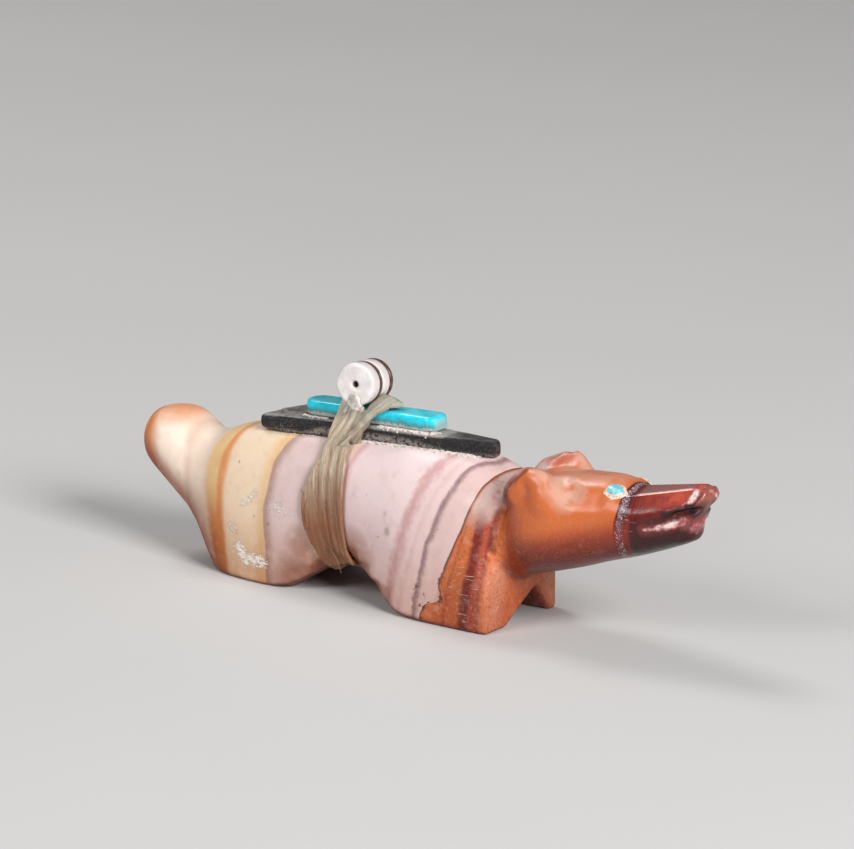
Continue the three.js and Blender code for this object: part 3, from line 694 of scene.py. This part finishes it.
# The body and the feet are duller than the head and snout, and files left fine marks behind the mouth
worn = noise(place, 1.6, 4, 0.6)
dull = sums("ADD", times(worn, 0.26), times(ramp(x, 14.0, 9.0), 0.16))
dull = sums("ADD", dull, times(ramp(x, 22.5, 21.5), 0.07))
dull = sums("ADD", dull, times(low_down, 0.1))
dull = sums("ADD", dull, times(painted(tree, "shade"), 0.3))
height = sums("ADD", times(noise(place, 3.0, 3), 0.012), times(pits, -0.05))
height = sums("ADD", height, sums("ADD", times(residue, 0.05), times(crystals, red_stone, 0.03)))
height = sums("ADD", height, times(scratches, -0.02))
file_marks = noise(stretched(place, (6.0, 1.0, 0.6)), 1.0, 2, 0.6)
height = sums("ADD", height, times(file_marks, snout, ramp(x, 25.2, 23.6), 0.06))
fill_in(
    surface,
    {
        "Base Color": colour,
        "Roughness": sums("ADD", dull, 0.13),
        "Normal": bumped(height, 0.8),
        "IOR": 1.45,
        "Coat Weight": 0.08,
        "Coat Roughness": 0.12,
        "Subsurface Weight": 0.12,
        "Subsurface Radius": (1.0, 0.55, 0.4),
        "Subsurface Scale": 0.8 * mm,
    },
)
cover(animal, stone)
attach(animal, "root")
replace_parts(animal, "stone_animal")

# Each eye is a chip of pale turquoise, ground flat and set flush in a drilled socket. The pale glue that
# holds it stands in a rim round it, widest below.
eye_chip, tree, surface, place = new_material("pale turquoise chip")
tone = blended((0.14, 0.50, 0.58), (0.34, 0.70, 0.76), ramp(noise(place, 4.0, 3), 0.35, 0.65))
fill_in(surface, {"Base Color": tone, "Roughness": 0.25})
eye_glue, tree, surface, place = new_material("pale glue")
tone = blended((0.66, 0.30, 0.16), (0.88, 0.68, 0.58), ramp(noise(place, 5.0, 3), 0.36, 0.56))
fill_in(surface, {"Base Color": tone, "Roughness": 0.3})

chip_outline = [
    (0.66, 0.05), (0.28, 0.40), (-0.22, 0.46), (-0.66, 0.14), (-0.44, -0.34), (0.06, -0.52), (0.42, -0.28)
]
chip_height = 1.2

# How much each ring is larger than the chip, and how far it stands off the skin; the first two are glue
eye_rings = [(1.48, -0.05), (1.40, 0.05), (1.06, 0.06), (1.0, 0.08), (0.9, 0.10), (0.45, 0.11)]


def eye(name, side, centre, size):
    """A flat chip and its glue rim, wider ahead and below, both laid on the skin of the head."""
    found, seat, out, index = animal.closest_point_on_mesh(Vector(centre) * mm)
    ahead = Vector((1, 0, 0)) - out * out.x
    ahead.normalize()
    above = out.cross(ahead) * -side
    spots = []
    for grow, rise in eye_rings:
        for across, up in chip_outline:
            swell = 1.0
            if grow > 1.3:
                swell = 1.2 if up < 0 else 1.0 if across > 0 else 0.78
            flat = seat + (ahead * across + above * up * chip_height) * grow * swell * size * mm
            found, skin, straight, index = animal.closest_point_on_mesh(flat)
            spots.append(skin + straight * rise * mm)
    spots.append(seat + out * eye_rings[-1][1] * mm)
    corners = len(chip_outline)
    faces = []
    for ring in range(len(eye_rings) - 1):
        outer = ring * corners
        inner = outer + corners
        for step in range(corners):
            after = (step + 1) % corners
            faces.append([outer + step, outer + after, inner + after, inner + step])
    for step in range(corners):
        faces.append([inner + step, inner + (step + 1) % corners, len(spots) - 1])
    faces.append(list(range(corners))[::-1])
    mesh = bpy.data.meshes.new(name)
    mesh.from_pydata(spots, [], faces)
    piece = placed(name, mesh)
    mesh.materials.append(eye_chip)
    mesh.materials.append(eye_glue)
    # The two outermost bands and the underside are glue, the rest is the chip
    for face in mesh.polygons:
        face.material_index = 1 if face.index < 2 * corners or face.index == len(faces) - 1 else 0
    hold(piece)
    bpy.ops.object.mode_set(mode="EDIT")
    bpy.ops.mesh.select_all(action="SELECT")
    bpy.ops.mesh.normals_make_consistent(inside=False)
    bpy.ops.object.mode_set(mode="OBJECT")
    work(piece, "SUBSURF", levels=3, render_levels=3, subdivision_type="SIMPLE")
    work(piece, "SMOOTH", factor=0.5, iterations=5)
    bpy.ops.object.shade_smooth()
    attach(piece, "root")
    return piece


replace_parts(eye("right_eye_chip", -1, (21.57, -1.99, 13.84), 1.22), "eye_right")
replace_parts(eye("left_eye_chip", 1, (21.57, 2.2, 13.6), 0.95), "eye_left")

# The point is knapped and ground from a black stone. Its top is polished and dusty, and the faces that look
# up are painted grey, partly dust and partly a painted reflection; its sides are left matte with pale grains
# in them, and its thin tip is painted brown as painted light let through it.
black, tree, surface, place = new_material("black stone")
x, y, z = parts(place)
point_slope = 0.0357
rise = sums("SUBTRACT", z, times(x, point_slope))
grain = noise(stretched(place, (1, 1, 1.6)), 4.0, 5, 0.75)
tone = blended((0.005, 0.004, 0.005), (0.048, 0.042, 0.045), ramp(grain, 0.42, 0.72))
# Faces that look up are painted grey: dust, and a painted reflection of the light above
up = parts(outward(tree))[2]
dust_and_reflection = times(ramp(up, 0.6, 0.97), ramp(noise(place, 1.0, 4, 0.65), 0.2, 0.6))
dust_and_reflection = times(dust_and_reflection, less(ramp(x, 3.0, 5.0), 0.8))
tone = blended(tone, (0.42, 0.39, 0.37), dust_and_reflection, 0.75)
pale_grains = times(specks(place, 0.16, 0.5, 0.32), ramp(noise(place, 0.8, 3), 0.40, 0.62))
pale_grains = times(pale_grains, less(ramp(x, 2.5, 5.0), 0.7))
tone = blended(tone, (0.42, 0.38, 0.35), pale_grains, 0.7)
# Painted light: the thin tip is painted brown, standing for light let through it and its edge highlights
tip_painted_glow = times(ramp(x, 7.6, 8.8), 0.6)
tone = blended(tone, (0.20, 0.09, 0.06), tip_painted_glow, ramp(grain, 0.35, 0.6))
near_wrap = times(ramp(x, -11.5, -9.0), ramp(x, 4.5, -1.0))
dust_top = sums("ADD", 14.10, times(near_wrap, 0.6))
foot_dust = ramp(sums("SUBTRACT", dust_top, rise), 0.0, 0.5)
foot_dust = times(foot_dust, ramp(noise(place, 3.5, 4, 0.8), 0.40, 0.56))
tone = blended(tone, (0.44, 0.38, 0.34), foot_dust, 0.75)
joint_dust = times(ramp(rise, 14.80, 15.02), ramp(x, 3.6, 2.6), ramp(x, -5.5, -3.5))
tone = blended(tone, (0.50, 0.45, 0.41), joint_dust, ramp(grain, 0.3, 0.5), 0.8)
gloss = sums("SUBTRACT", 0.66, times(ramp(up, 0.55, 0.95), 0.42))
fill_in(surface, {"Base Color": tone, "Roughness": gloss, "Normal": bumped(times(grain, 0.09), 0.9)})

point = copy_of("black_point", "ground_point")
bpy.ops.object.mode_set(mode="EDIT")
bpy.ops.mesh.select_all(action="SELECT")
slant = Vector((-5.1, 2.1, 0)).normalized()
bpy.ops.mesh.bisect(plane_co=Vector((-16.15, -2.1, 14)) * mm, plane_no=slant, use_fill=True, clear_outer=True)
bpy.ops.object.mode_set(mode="OBJECT")
work(point, "REMESH", mode="VOXEL", voxel_size=0.12 * mm)
polish(point, (-15.7, -1.8, 13.8), 2.2, 90)
polish(point, (9.3, -0.3, 14.6), 2.0, 40)
work(point, "SMOOTH", factor=0.5, iterations=5)
bpy.ops.object.shade_smooth()
cover(point, black)
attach(point, "root")
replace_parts(point, "black_point")

# The slab of turquoise lies along the point. It is sawn, rounded above and polished; towards the foot of its
# sides it turns a dark grey-green, pale dust clings at the very foot, and a painted highlight lies along its
# upper edge; a hair crack runs down near its front end.
turquoise, tree, surface, place = new_material("turquoise")
x, y, z = parts(place)
slab_slope = 0.0345
rise = sums("SUBTRACT", z, times(x, slab_slope))
cloudy = noise(place, 0.9, 4, 0.6)
tone = blended((0.012, 0.58, 0.74), (0.02, 0.80, 0.98), ramp(cloudy, 0.3, 0.65))
foot = sums("ADD", rise, times(sums("SUBTRACT", cloudy, 0.5), 0.6))
tone = blended(tone, (0.07, 0.24, 0.24), ramp(foot, 16.15, 15.50), 0.9)
dust = ramp(sums("ADD", foot, times(sums("SUBTRACT", noise(place, 4.0, 4, 0.7), 0.5), 0.7)), 15.58, 15.34)
tone = blended(tone, (0.60, 0.57, 0.52), dust, 0.8)
crack = sums("ABSOLUTE", along_plane(place, 6.6, 0.1, -0.33))
crack = sums("ADD", crack, times(sums("SUBTRACT", noise(place, 2.0, 2), 0.5), 0.12))
tone = blended(tone, (0.20, 0.45, 0.45), ramp(crack, 0.07, 0.02), 0.7)
facing = parts(outward(tree))
end_face = times(ramp(facing[0], 0.75, 0.97), ramp(x, 0.0, 1.5))
# A painted highlight along the upper edge, where the faces look up
upper_edge_highlight = times(ramp(facing[2], 0.75, 0.95), ramp(cloudy, 0.3, 0.6), 0.4)
tone = blended(tone, (0.36, 0.55, 0.54), sums("MAXIMUM", end_face, upper_edge_highlight), 0.7)
dull = sums("ADD", 0.24, times(dust, 0.4))
height = times(noise(place, 2.5, 4), 0.04)
fill_in(surface, {"Base Color": tone, "Roughness": dull, "Normal": bumped(height, 0.6)})

slab = copy_of("turquoise_slab", "polished_turquoise")
work(slab, "REMESH", mode="VOXEL", voxel_size=0.1 * mm)
work(slab, "SMOOTH", factor=0.5, iterations=16)
bpy.ops.object.shade_smooth()
cover(slab, turquoise)
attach(slab, "root")
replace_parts(slab, "turquoise_slab")

# The beads are discs of shell, drilled and rolled round: two thick white ones and two thin brown ones.
# They stand side by side across the top of the bundle, glued at their feet.
bead_radius = 1.86
bead_bore = 0.26
bead_turn = 0.17
bead_tilt = 0.1
bead_axis = Vector((-sin(bead_turn) * cos(bead_tilt), cos(bead_turn) * cos(bead_tilt), -sin(bead_tilt)))
white_shell, tree, surface, place = new_material("white shell")
cloudy = noise(place, 1.2, 4, 0.6)
tone = blended((0.72, 0.66, 0.64), (0.86, 0.83, 0.82), ramp(cloudy, 0.35, 0.7))
side_on = vectors("DOT_PRODUCT", outward(tree), tuple(bead_axis), output="Value")
rolled = ramp(sums("ABSOLUTE", side_on), 0.75, 0.35)
tone = blended(tone, (0.84, 0.72, 0.70), rolled, ramp(noise(place, 1.8, 4, 0.6), 0.3, 0.6), 0.6)
tone = blended(tone, (0.12, 0.09, 0.08), specks(place, 0.9, 0.10, 0.12), 0.8)
# The bore and a thin ring round its mouth are painted near black: painted shade in the hole
low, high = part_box("shell_bead_near")
from_middle = vectors("ADD", place, tuple((Vector(low) + Vector(high)) / -2 / mm))
from_axis = vectors("LENGTH", vectors("CROSS_PRODUCT", from_middle, tuple(bead_axis)), output="Value")
tone = blended(tone, (0.02, 0.012, 0.01), ramp(from_axis, bead_bore + 0.05, bead_bore - 0.03))
scratched = bumped(times(noise(place, 3.0, 4), 0.03), 0.5)
fill_in(surface, {"Base Color": tone, "Roughness": 0.32, "Coat Weight": 0.2, "Normal": scratched})
brown_shell, tree, surface, place = new_material("brown shell")
cloudy = noise(place, 2.5, 4, 0.6)
tone = blended((0.07, 0.03, 0.025), (0.18, 0.09, 0.07), ramp(cloudy, 0.35, 0.7))
fill_in(surface, {"Base Color": tone, "Roughness": 0.35})


def bead(name, cad_name, thickness, material):
    """A drilled disc: a cylinder whose ends are inset and bridged by the bore, with rolled rims."""
    low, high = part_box(cad_name)
    bpy.ops.object.select_all(action="DESELECT")
    bpy.ops.mesh.primitive_cylinder_add(
        vertices=72,
        radius=bead_radius * mm,
        depth=thickness * mm,
        end_fill_type="NGON",
        location=(Vector(low) + Vector(high)) / 2,
        rotation=bead_axis.to_track_quat("Z", "Y").to_euler(),
    )
    piece = bpy.context.object
    piece.name = name
    bpy.ops.object.transform_apply(location=True, rotation=True, scale=True)
    bpy.ops.object.mode_set(mode="EDIT")
    bpy.ops.mesh.select_mode(type="FACE")
    bpy.ops.mesh.select_all(action="DESELECT")
    bpy.ops.object.mode_set(mode="OBJECT")
    for face in piece.data.polygons:
        face.select = abs(face.normal.dot(bead_axis)) > 0.9
    bpy.ops.object.mode_set(mode="EDIT")
    bpy.ops.mesh.inset(thickness=(bead_radius - bead_bore) * mm, use_individual=True)
    bpy.ops.mesh.bridge_edge_loops()
    bpy.ops.object.mode_set(mode="OBJECT")
    rim = min(0.34, thickness / 3) * mm
    work(piece, "BEVEL", width=rim, segments=6, limit_method="ANGLE", angle_limit=radians(50))
    bpy.ops.object.shade_smooth()
    cover(piece, material)
    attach(piece, "root")
    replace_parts(piece, cad_name)


bead("near_white_bead", "shell_bead_near", 1.42, white_shell)
bead("middle_brown_bead", "brown_bead_middle", 0.26, brown_shell)
bead("far_white_bead", "shell_bead_far", 1.42, white_shell)
bead("far_brown_bead", "brown_bead_far", 0.44, brown_shell)

# The bundle is bound on with flattened sinew, wound wet so that it dries tight: a tan, fibrous ribbon
# whose fibres run along it, darker and spotted low on the belly.
run_heights = [3.0, 4.0, 5.9, 8.4, 10.8, 13.0, 17.2]
run_middles = [-5.3, -5.9, -6.55, -6.9, -7.15, -7.5, -6.1]
wrap = copy_of("sinew_wrap", "sinew_ribbon")

# A web of dried sinew fills the corner where the slanting turn leaves the upright ones
web = [
    lump((-5.9, -1.35, 15.9), (0.9, 0.35, 1.2), turn=(0, 0.3, 0)),
    lump((-5.2, -1.45, 15.2), (0.8, 0.35, 1.3), turn=(0, 0.7, 0)),
    lump((-5.6, -1.9, 14.2), (0.8, 0.4, 1.2), turn=(0, 0.5, 0)),
]
join_to(wrap, web)
work(wrap, "REMESH", mode="VOXEL", voxel_size=0.11 * mm)
work(wrap, "SMOOTH", factor=0.5, iterations=5)
spots, ways = points_of(wrap)

# Each point is measured across its own turn, from the middle of the upright ones or of the slanting one
across = spots[:, 0] - np.interp(spots[:, 2], run_heights, run_middles)
slanting = (spots[:, 0] + 3.8) * 0.75 - (spots[:, 2] - 15.4) * 0.66
crossing = (spots[:, 2] > 13.3) & (np.abs(slanting) < np.abs(across)) & (spots[:, 1] < 0.6)
across = np.where(crossing, slanting + 7.3, across)
draw = random.Random(7)
relief = np.zeros(len(spots))
for strand in range(14):
    rate = draw.uniform(4.0, 16.0)
    swing = draw.uniform(0.3, 1.1)
    sway = spots[:, 2] * draw.uniform(0.2, 0.6) + spots[:, 1] * 0.4 + draw.uniform(0, 6)
    wander = swing * np.sin(sway)
    relief += np.sin(rate * across + wander + draw.uniform(0, 6)) * 0.030 / (1 + rate * 0.25)

# The edge of the slanting turn is folded down in front of the beads
fold_line = [(-2.6, -0.9, 16.5), (-4.3, -1.6, 14.6), (-5.4, -2.4, 13.6)]
fold = np.clip(1 - (away_from(spots, fold_line) / 0.35) ** 2, 0, 1)
put_points(wrap, spots + ways * (relief - 0.12 * fold)[:, None])
layer = wrap.data.attributes.new("across", "FLOAT", "POINT")
layer.data.foreach_set("value", across.astype(np.float32))
# A mask of painted shade: the grooves between fibres and the fold
layer = wrap.data.attributes.new("fold_and_groove_shade", "FLOAT", "POINT")
layer.data.foreach_set("value", np.clip(0.35 - relief * 9 + fold * 0.5, 0, 1).astype(np.float32))
bpy.ops.object.shade_smooth()

sinew, tree, surface, place = new_material("dried sinew")
x, y, z = parts(place)
along_fibre = {0: times(painted(tree, "across"), 5.0), 1: times(y, 0.45), 2: times(z, 0.45)}
fibre_place = node(tree, "CombineXYZ", along_fibre).outputs[0]
fibres = noise(fibre_place, 1.0, 5, 0.7)
broad = noise(fibre_place, 0.35, 2, 0.5)
tone = blended((0.33, 0.22, 0.14), (0.66, 0.54, 0.41), ramp(fibres, 0.35, 0.68))
tone = blended(tone, (0.70, 0.62, 0.50), ramp(broad, 0.45, 0.65), 0.5)
tone = blended(tone, (0.66, 0.63, 0.52), ramp(z, 14.0, 17.0), 0.6)
slanting_strand = ramp(painted(tree, "across"), 4.5, 5.0)
tone = blended(tone, (0.64, 0.72, 0.76), slanting_strand, 0.8, blend_type="MULTIPLY")
# Painted shade in the grooves between fibres and along the fold
tone = blended(tone, (0.28, 0.16, 0.08), painted(tree, "fold_and_groove_shade"), 0.38)
low_part = ramp(sums("ADD", z, times(broad, 3.0)), 13.0, 7.5)
tone = blended(tone, (0.23, 0.065, 0.014), low_part, 0.88)
tone = blended(tone, (0.16, 0.06, 0.02), ramp(z, 7.0, 3.0), 0.6)
right_part = times(ramp(painted(tree, "across"), 0.3, 1.4), ramp(z, 12.5, 9.5))
tone = blended(tone, (0.26, 0.11, 0.05), right_part, 0.6)
spots_on = sums("MAXIMUM", specks(place, 0.22, 0.35, 0.34), times(specks(place, 0.5, 0.4, 0.25), low_part))
tone = blended(tone, (0.05, 0.03, 0.02), spots_on, sums("ADD", 0.22, times(low_part, 0.4)))
height = sums("ADD", times(fibres, 0.11), times(spots_on, -0.03))
fill_in(
    surface,
    {
        "Base Color": tone,
        "Roughness": sums("ADD", 0.30, times(fibres, 0.25)),
        "Normal": bumped(height, 0.9),
        "Subsurface Weight": 0.25,
        "Subsurface Radius": (1.0, 0.6, 0.35),
        "Subsurface Scale": 0.4 * mm,
    },
)
cover(wrap, sinew)
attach(wrap, "root")
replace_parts(wrap, "sinew_wrap")


def loose_fibre(path, thick):
    """One fibre that has come away: a thin tube through a few points, finer at its end."""
    curve = bpy.data.curves.new("fibre", "CURVE")
    curve.dimensions = "3D"
    curve.bevel_depth = thick * mm
    curve.bevel_resolution = 1
    curve.use_fill_caps = True
    line = curve.splines.new("NURBS")
    line.points.add(len(path) - 1)
    line.use_endpoint_u = True
    line.order_u = 3
    line.resolution_u = 6
    for index, (spot, knot) in enumerate(zip(path, line.points)):
        knot.co = (*(Vector(spot) * mm), 1)
        knot.radius = 1.0 - 0.6 * index / (len(path) - 1)
    hold(placed("fibre", curve))
    bpy.ops.object.convert(target="MESH")
    return bpy.context.object


fibre_paths = [
    ([(-5.9, -4.95, 4.6), (-5.2, -5.05, 3.9), (-4.9, -5.0, 3.2), (-4.8, -4.9, 2.6)], 0.06),
    ([(-8.6, -4.75, 8.6), (-8.9, -5.0, 7.2), (-8.6, -5.1, 6.0), (-8.0, -5.05, 5.2)], 0.04),
    ([(-2.3, -0.3, 17.2), (-2.0, -0.1, 16.9), (-1.5, 0.2, 16.7)], 0.04),
]
fibres_off = [loose_fibre(path, thick) for path, thick in fibre_paths]
join_to(fibres_off[0], fibres_off[1:])
fibres_off[0].name = "loose_sinew_fibres"
bpy.ops.object.shade_smooth()
cover(fibres_off[0], sinew)

# The loose fibres take the tone of the middle of the ribbon
fibres_off[0].data.attributes.new("across", "FLOAT", "POINT")
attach(fibres_off[0], "root")

# Clear glue holds the beads. It dried in a crinkled lump on the near bead's foot, and a drop of it ran down
# the sinew.
glue, tree, surface, place = new_material("dried clear glue")
crinkled = noise(place, 3.0, 4, 0.6)
tone = blended((0.46, 0.40, 0.36), (0.82, 0.78, 0.75), ramp(crinkled, 0.35, 0.65))
fill_in(
    surface,
    {
        "Base Color": tone,
        "Roughness": 0.18,
        "Coat Weight": 0.6,
        "Subsurface Weight": 0.3,
        "Subsurface Radius": (1, 1, 1),
        "Subsurface Scale": 0.4 * mm,
        "Normal": bumped(times(crinkled, 0.15), 0.8),
    },
)
blobs = [
    lump((-5.35, -2.25, 17.35), (0.62, 0.28, 0.60), segments=20),
    lump((-5.75, -2.25, 17.05), (0.35, 0.30, 0.35), segments=20),
    lump((-4.95, -2.20, 16.95), (0.40, 0.30, 0.35), segments=20),
    lump((-5.35, -2.15, 16.65), (0.55, 0.40, 0.35), segments=20),
    lump((-5.10, -2.30, 17.60), (0.25, 0.22, 0.28), segments=20),
    lump((-6.75, -1.60, 16.10), (0.22, 0.22, 0.42), turn=(0, 0.45, 0), segments=20),
    lump((-6.55, -1.65, 16.35), (0.16, 0.18, 0.25), turn=(0, 0.45, 0), segments=20),
]
join_to(blobs[0], blobs[1:])
blobs[0].name = "bead_glue"
work(blobs[0], "REMESH", mode="VOXEL", voxel_size=0.07 * mm)
work(blobs[0], "SMOOTH", factor=0.5, iterations=3)
bpy.ops.object.shade_smooth()
cover(blobs[0], glue)
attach(blobs[0], "root")

# Pale glue and stone dust are caught in crumbs along the joints of the slab and the point, where they
# stuck when the bundle was put together.
crumb, tree, surface, place = new_material("glue and stone dust")
tone = blended((0.44, 0.38, 0.34), (0.80, 0.73, 0.68), ramp(noise(place, 3.0, 3), 0.35, 0.55))
gritty = bumped(times(noise(place, 9.0, 2), 0.05), 0.5)
fill_in(surface, {"Base Color": tone, "Roughness": 0.7, "Normal": gritty})


def crumbs(name, runs):
    """Small grains scattered along runs: each has its path, how many grains, how far they stray and how
    big they are, and the piece they stick to. All are one piece."""
    bpy.ops.object.select_all(action="DESELECT")
    bpy.ops.mesh.primitive_ico_sphere_add(subdivisions=1, radius=1)
    pattern = bpy.context.object
    corners = np.array([vertex.co[:] for vertex in pattern.data.vertices])
    sides = [list(face.vertices) for face in pattern.data.polygons]
    bpy.data.objects.remove(pattern)
    draw = random.Random(11)
    spots = []
    faces = []
    for path, count, stray, size, under in runs:
        for grain in range(count):
            part = draw.random() * (len(path) - 1)
            index = int(part)
            start = Vector(path[index])
            spot = start + (Vector(path[index + 1]) - start) * (part - index)
            spot = spot + Vector([draw.gauss(0, stray) for axis in range(3)])
            found, seat, out, face = under.closest_point_on_mesh(spot * mm)
            radius = size * draw.uniform(0.5, 1.4)
            stretch = [radius * draw.uniform(0.6, 1.3) for axis in range(3)]
            turn = draw.uniform(0, pi)
            turned = np.array([[cos(turn), -sin(turn), 0], [sin(turn), cos(turn), 0], [0, 0, 1]])
            middle = np.array(seat / mm + out * radius * 0.2)
            first = len(spots)
            spots.extend(((corners * stretch) @ turned + middle) * mm)
            faces.extend([[first + corner for corner in side] for side in sides])
    mesh = bpy.data.meshes.new(name)
    mesh.from_pydata([tuple(spot) for spot in spots], [], faces)
    piece = placed(name, mesh)
    mesh.materials.append(crumb)
    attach(piece, "root")


slab_foot = [(-3.65, -1.0, 15.0), (-1.0, -0.95, 15.1), (1.6, -0.9, 15.2), (2.1, -0.4, 15.2)]
slab_rear_foot = [(-11.9, -0.9, 14.75), (-9.2, -1.0, 14.85)]
point_foot = [(-5.4, -1.6, 13.4), (-1.3, -1.45, 13.6), (2.9, -1.3, 13.7), (6.8, -0.85, 13.9)]
point_rear_foot = [(-15.5, -2.3, 13.0), (-11.7, -1.9, 13.15), (-9.6, -1.8, 13.25)]
crumbs(
    "dust_crumbs",
    [
        (slab_foot, 700, 0.11, 0.085, point),
        (slab_rear_foot, 130, 0.10, 0.07, point),
        (point_foot, 1000, 0.15, 0.08, animal),
        (point_rear_foot, 60, 0.08, 0.05, animal),
    ],
)

# The animal stands on a plain pale floor under three soft lamps and a dim even sky, seen from the
# photograph's angle.
bpy.context.scene.view_settings.view_transform = "Standard"
view_turn = radians(36.9)
view_rise = radians(15.1)
back = Vector((sin(view_turn) * cos(view_rise), -cos(view_turn) * cos(view_rise), sin(view_rise)))
target = Vector((-2.38, 4.11, 14.26)) * mm
camera = placed("camera", bpy.data.cameras.new("camera"))
camera_distance = 0.4
camera.location = target + back * camera_distance
camera.rotation_mode = "QUATERNION"
camera.rotation_quaternion = (-back).to_track_quat("-Z", "Y")
camera.data.sensor_width = 36
camera.data.lens = 195.6
camera.data.clip_start = 0.01
camera.data.clip_end = 10
bpy.context.scene.camera = camera

bpy.ops.object.select_all(action="DESELECT")
bpy.ops.mesh.primitive_plane_add(size=2)
floor = bpy.context.object
floor.name = "floor"
paper, tree, surface, place = new_material("pale paper")
tone = blended((0.62, 0.61, 0.60), (0.66, 0.65, 0.64), noise(place, 0.02, 3))
fill_in(surface, {"Base Color": tone, "Roughness": 0.85})
cover(floor, paper)

world = bpy.data.worlds.new("studio")
bpy.context.scene.world = world
world.use_nodes = True
fill_in(world.node_tree.nodes["Background"], {"Color": (0.9, 0.9, 0.9, 1), "Strength": 0.13})


def softbox(name, place, size, power):
    lamp = placed(name, bpy.data.lights.new(name, "AREA"))
    lamp.data.size = size
    lamp.data.energy = power
    lamp.location = place
    lamp.rotation_mode = "QUATERNION"
    lamp.rotation_quaternion = (Vector(place) - target).to_track_quat("Z", "Y")


softbox("key", (-0.15, -0.50, 0.36), 0.23, 1.3)
softbox("right", (0.50, -0.17, 0.31), 0.22, 3.7)
softbox("rear", (-0.36, 0.10, 0.52), 0.20, 1.15)
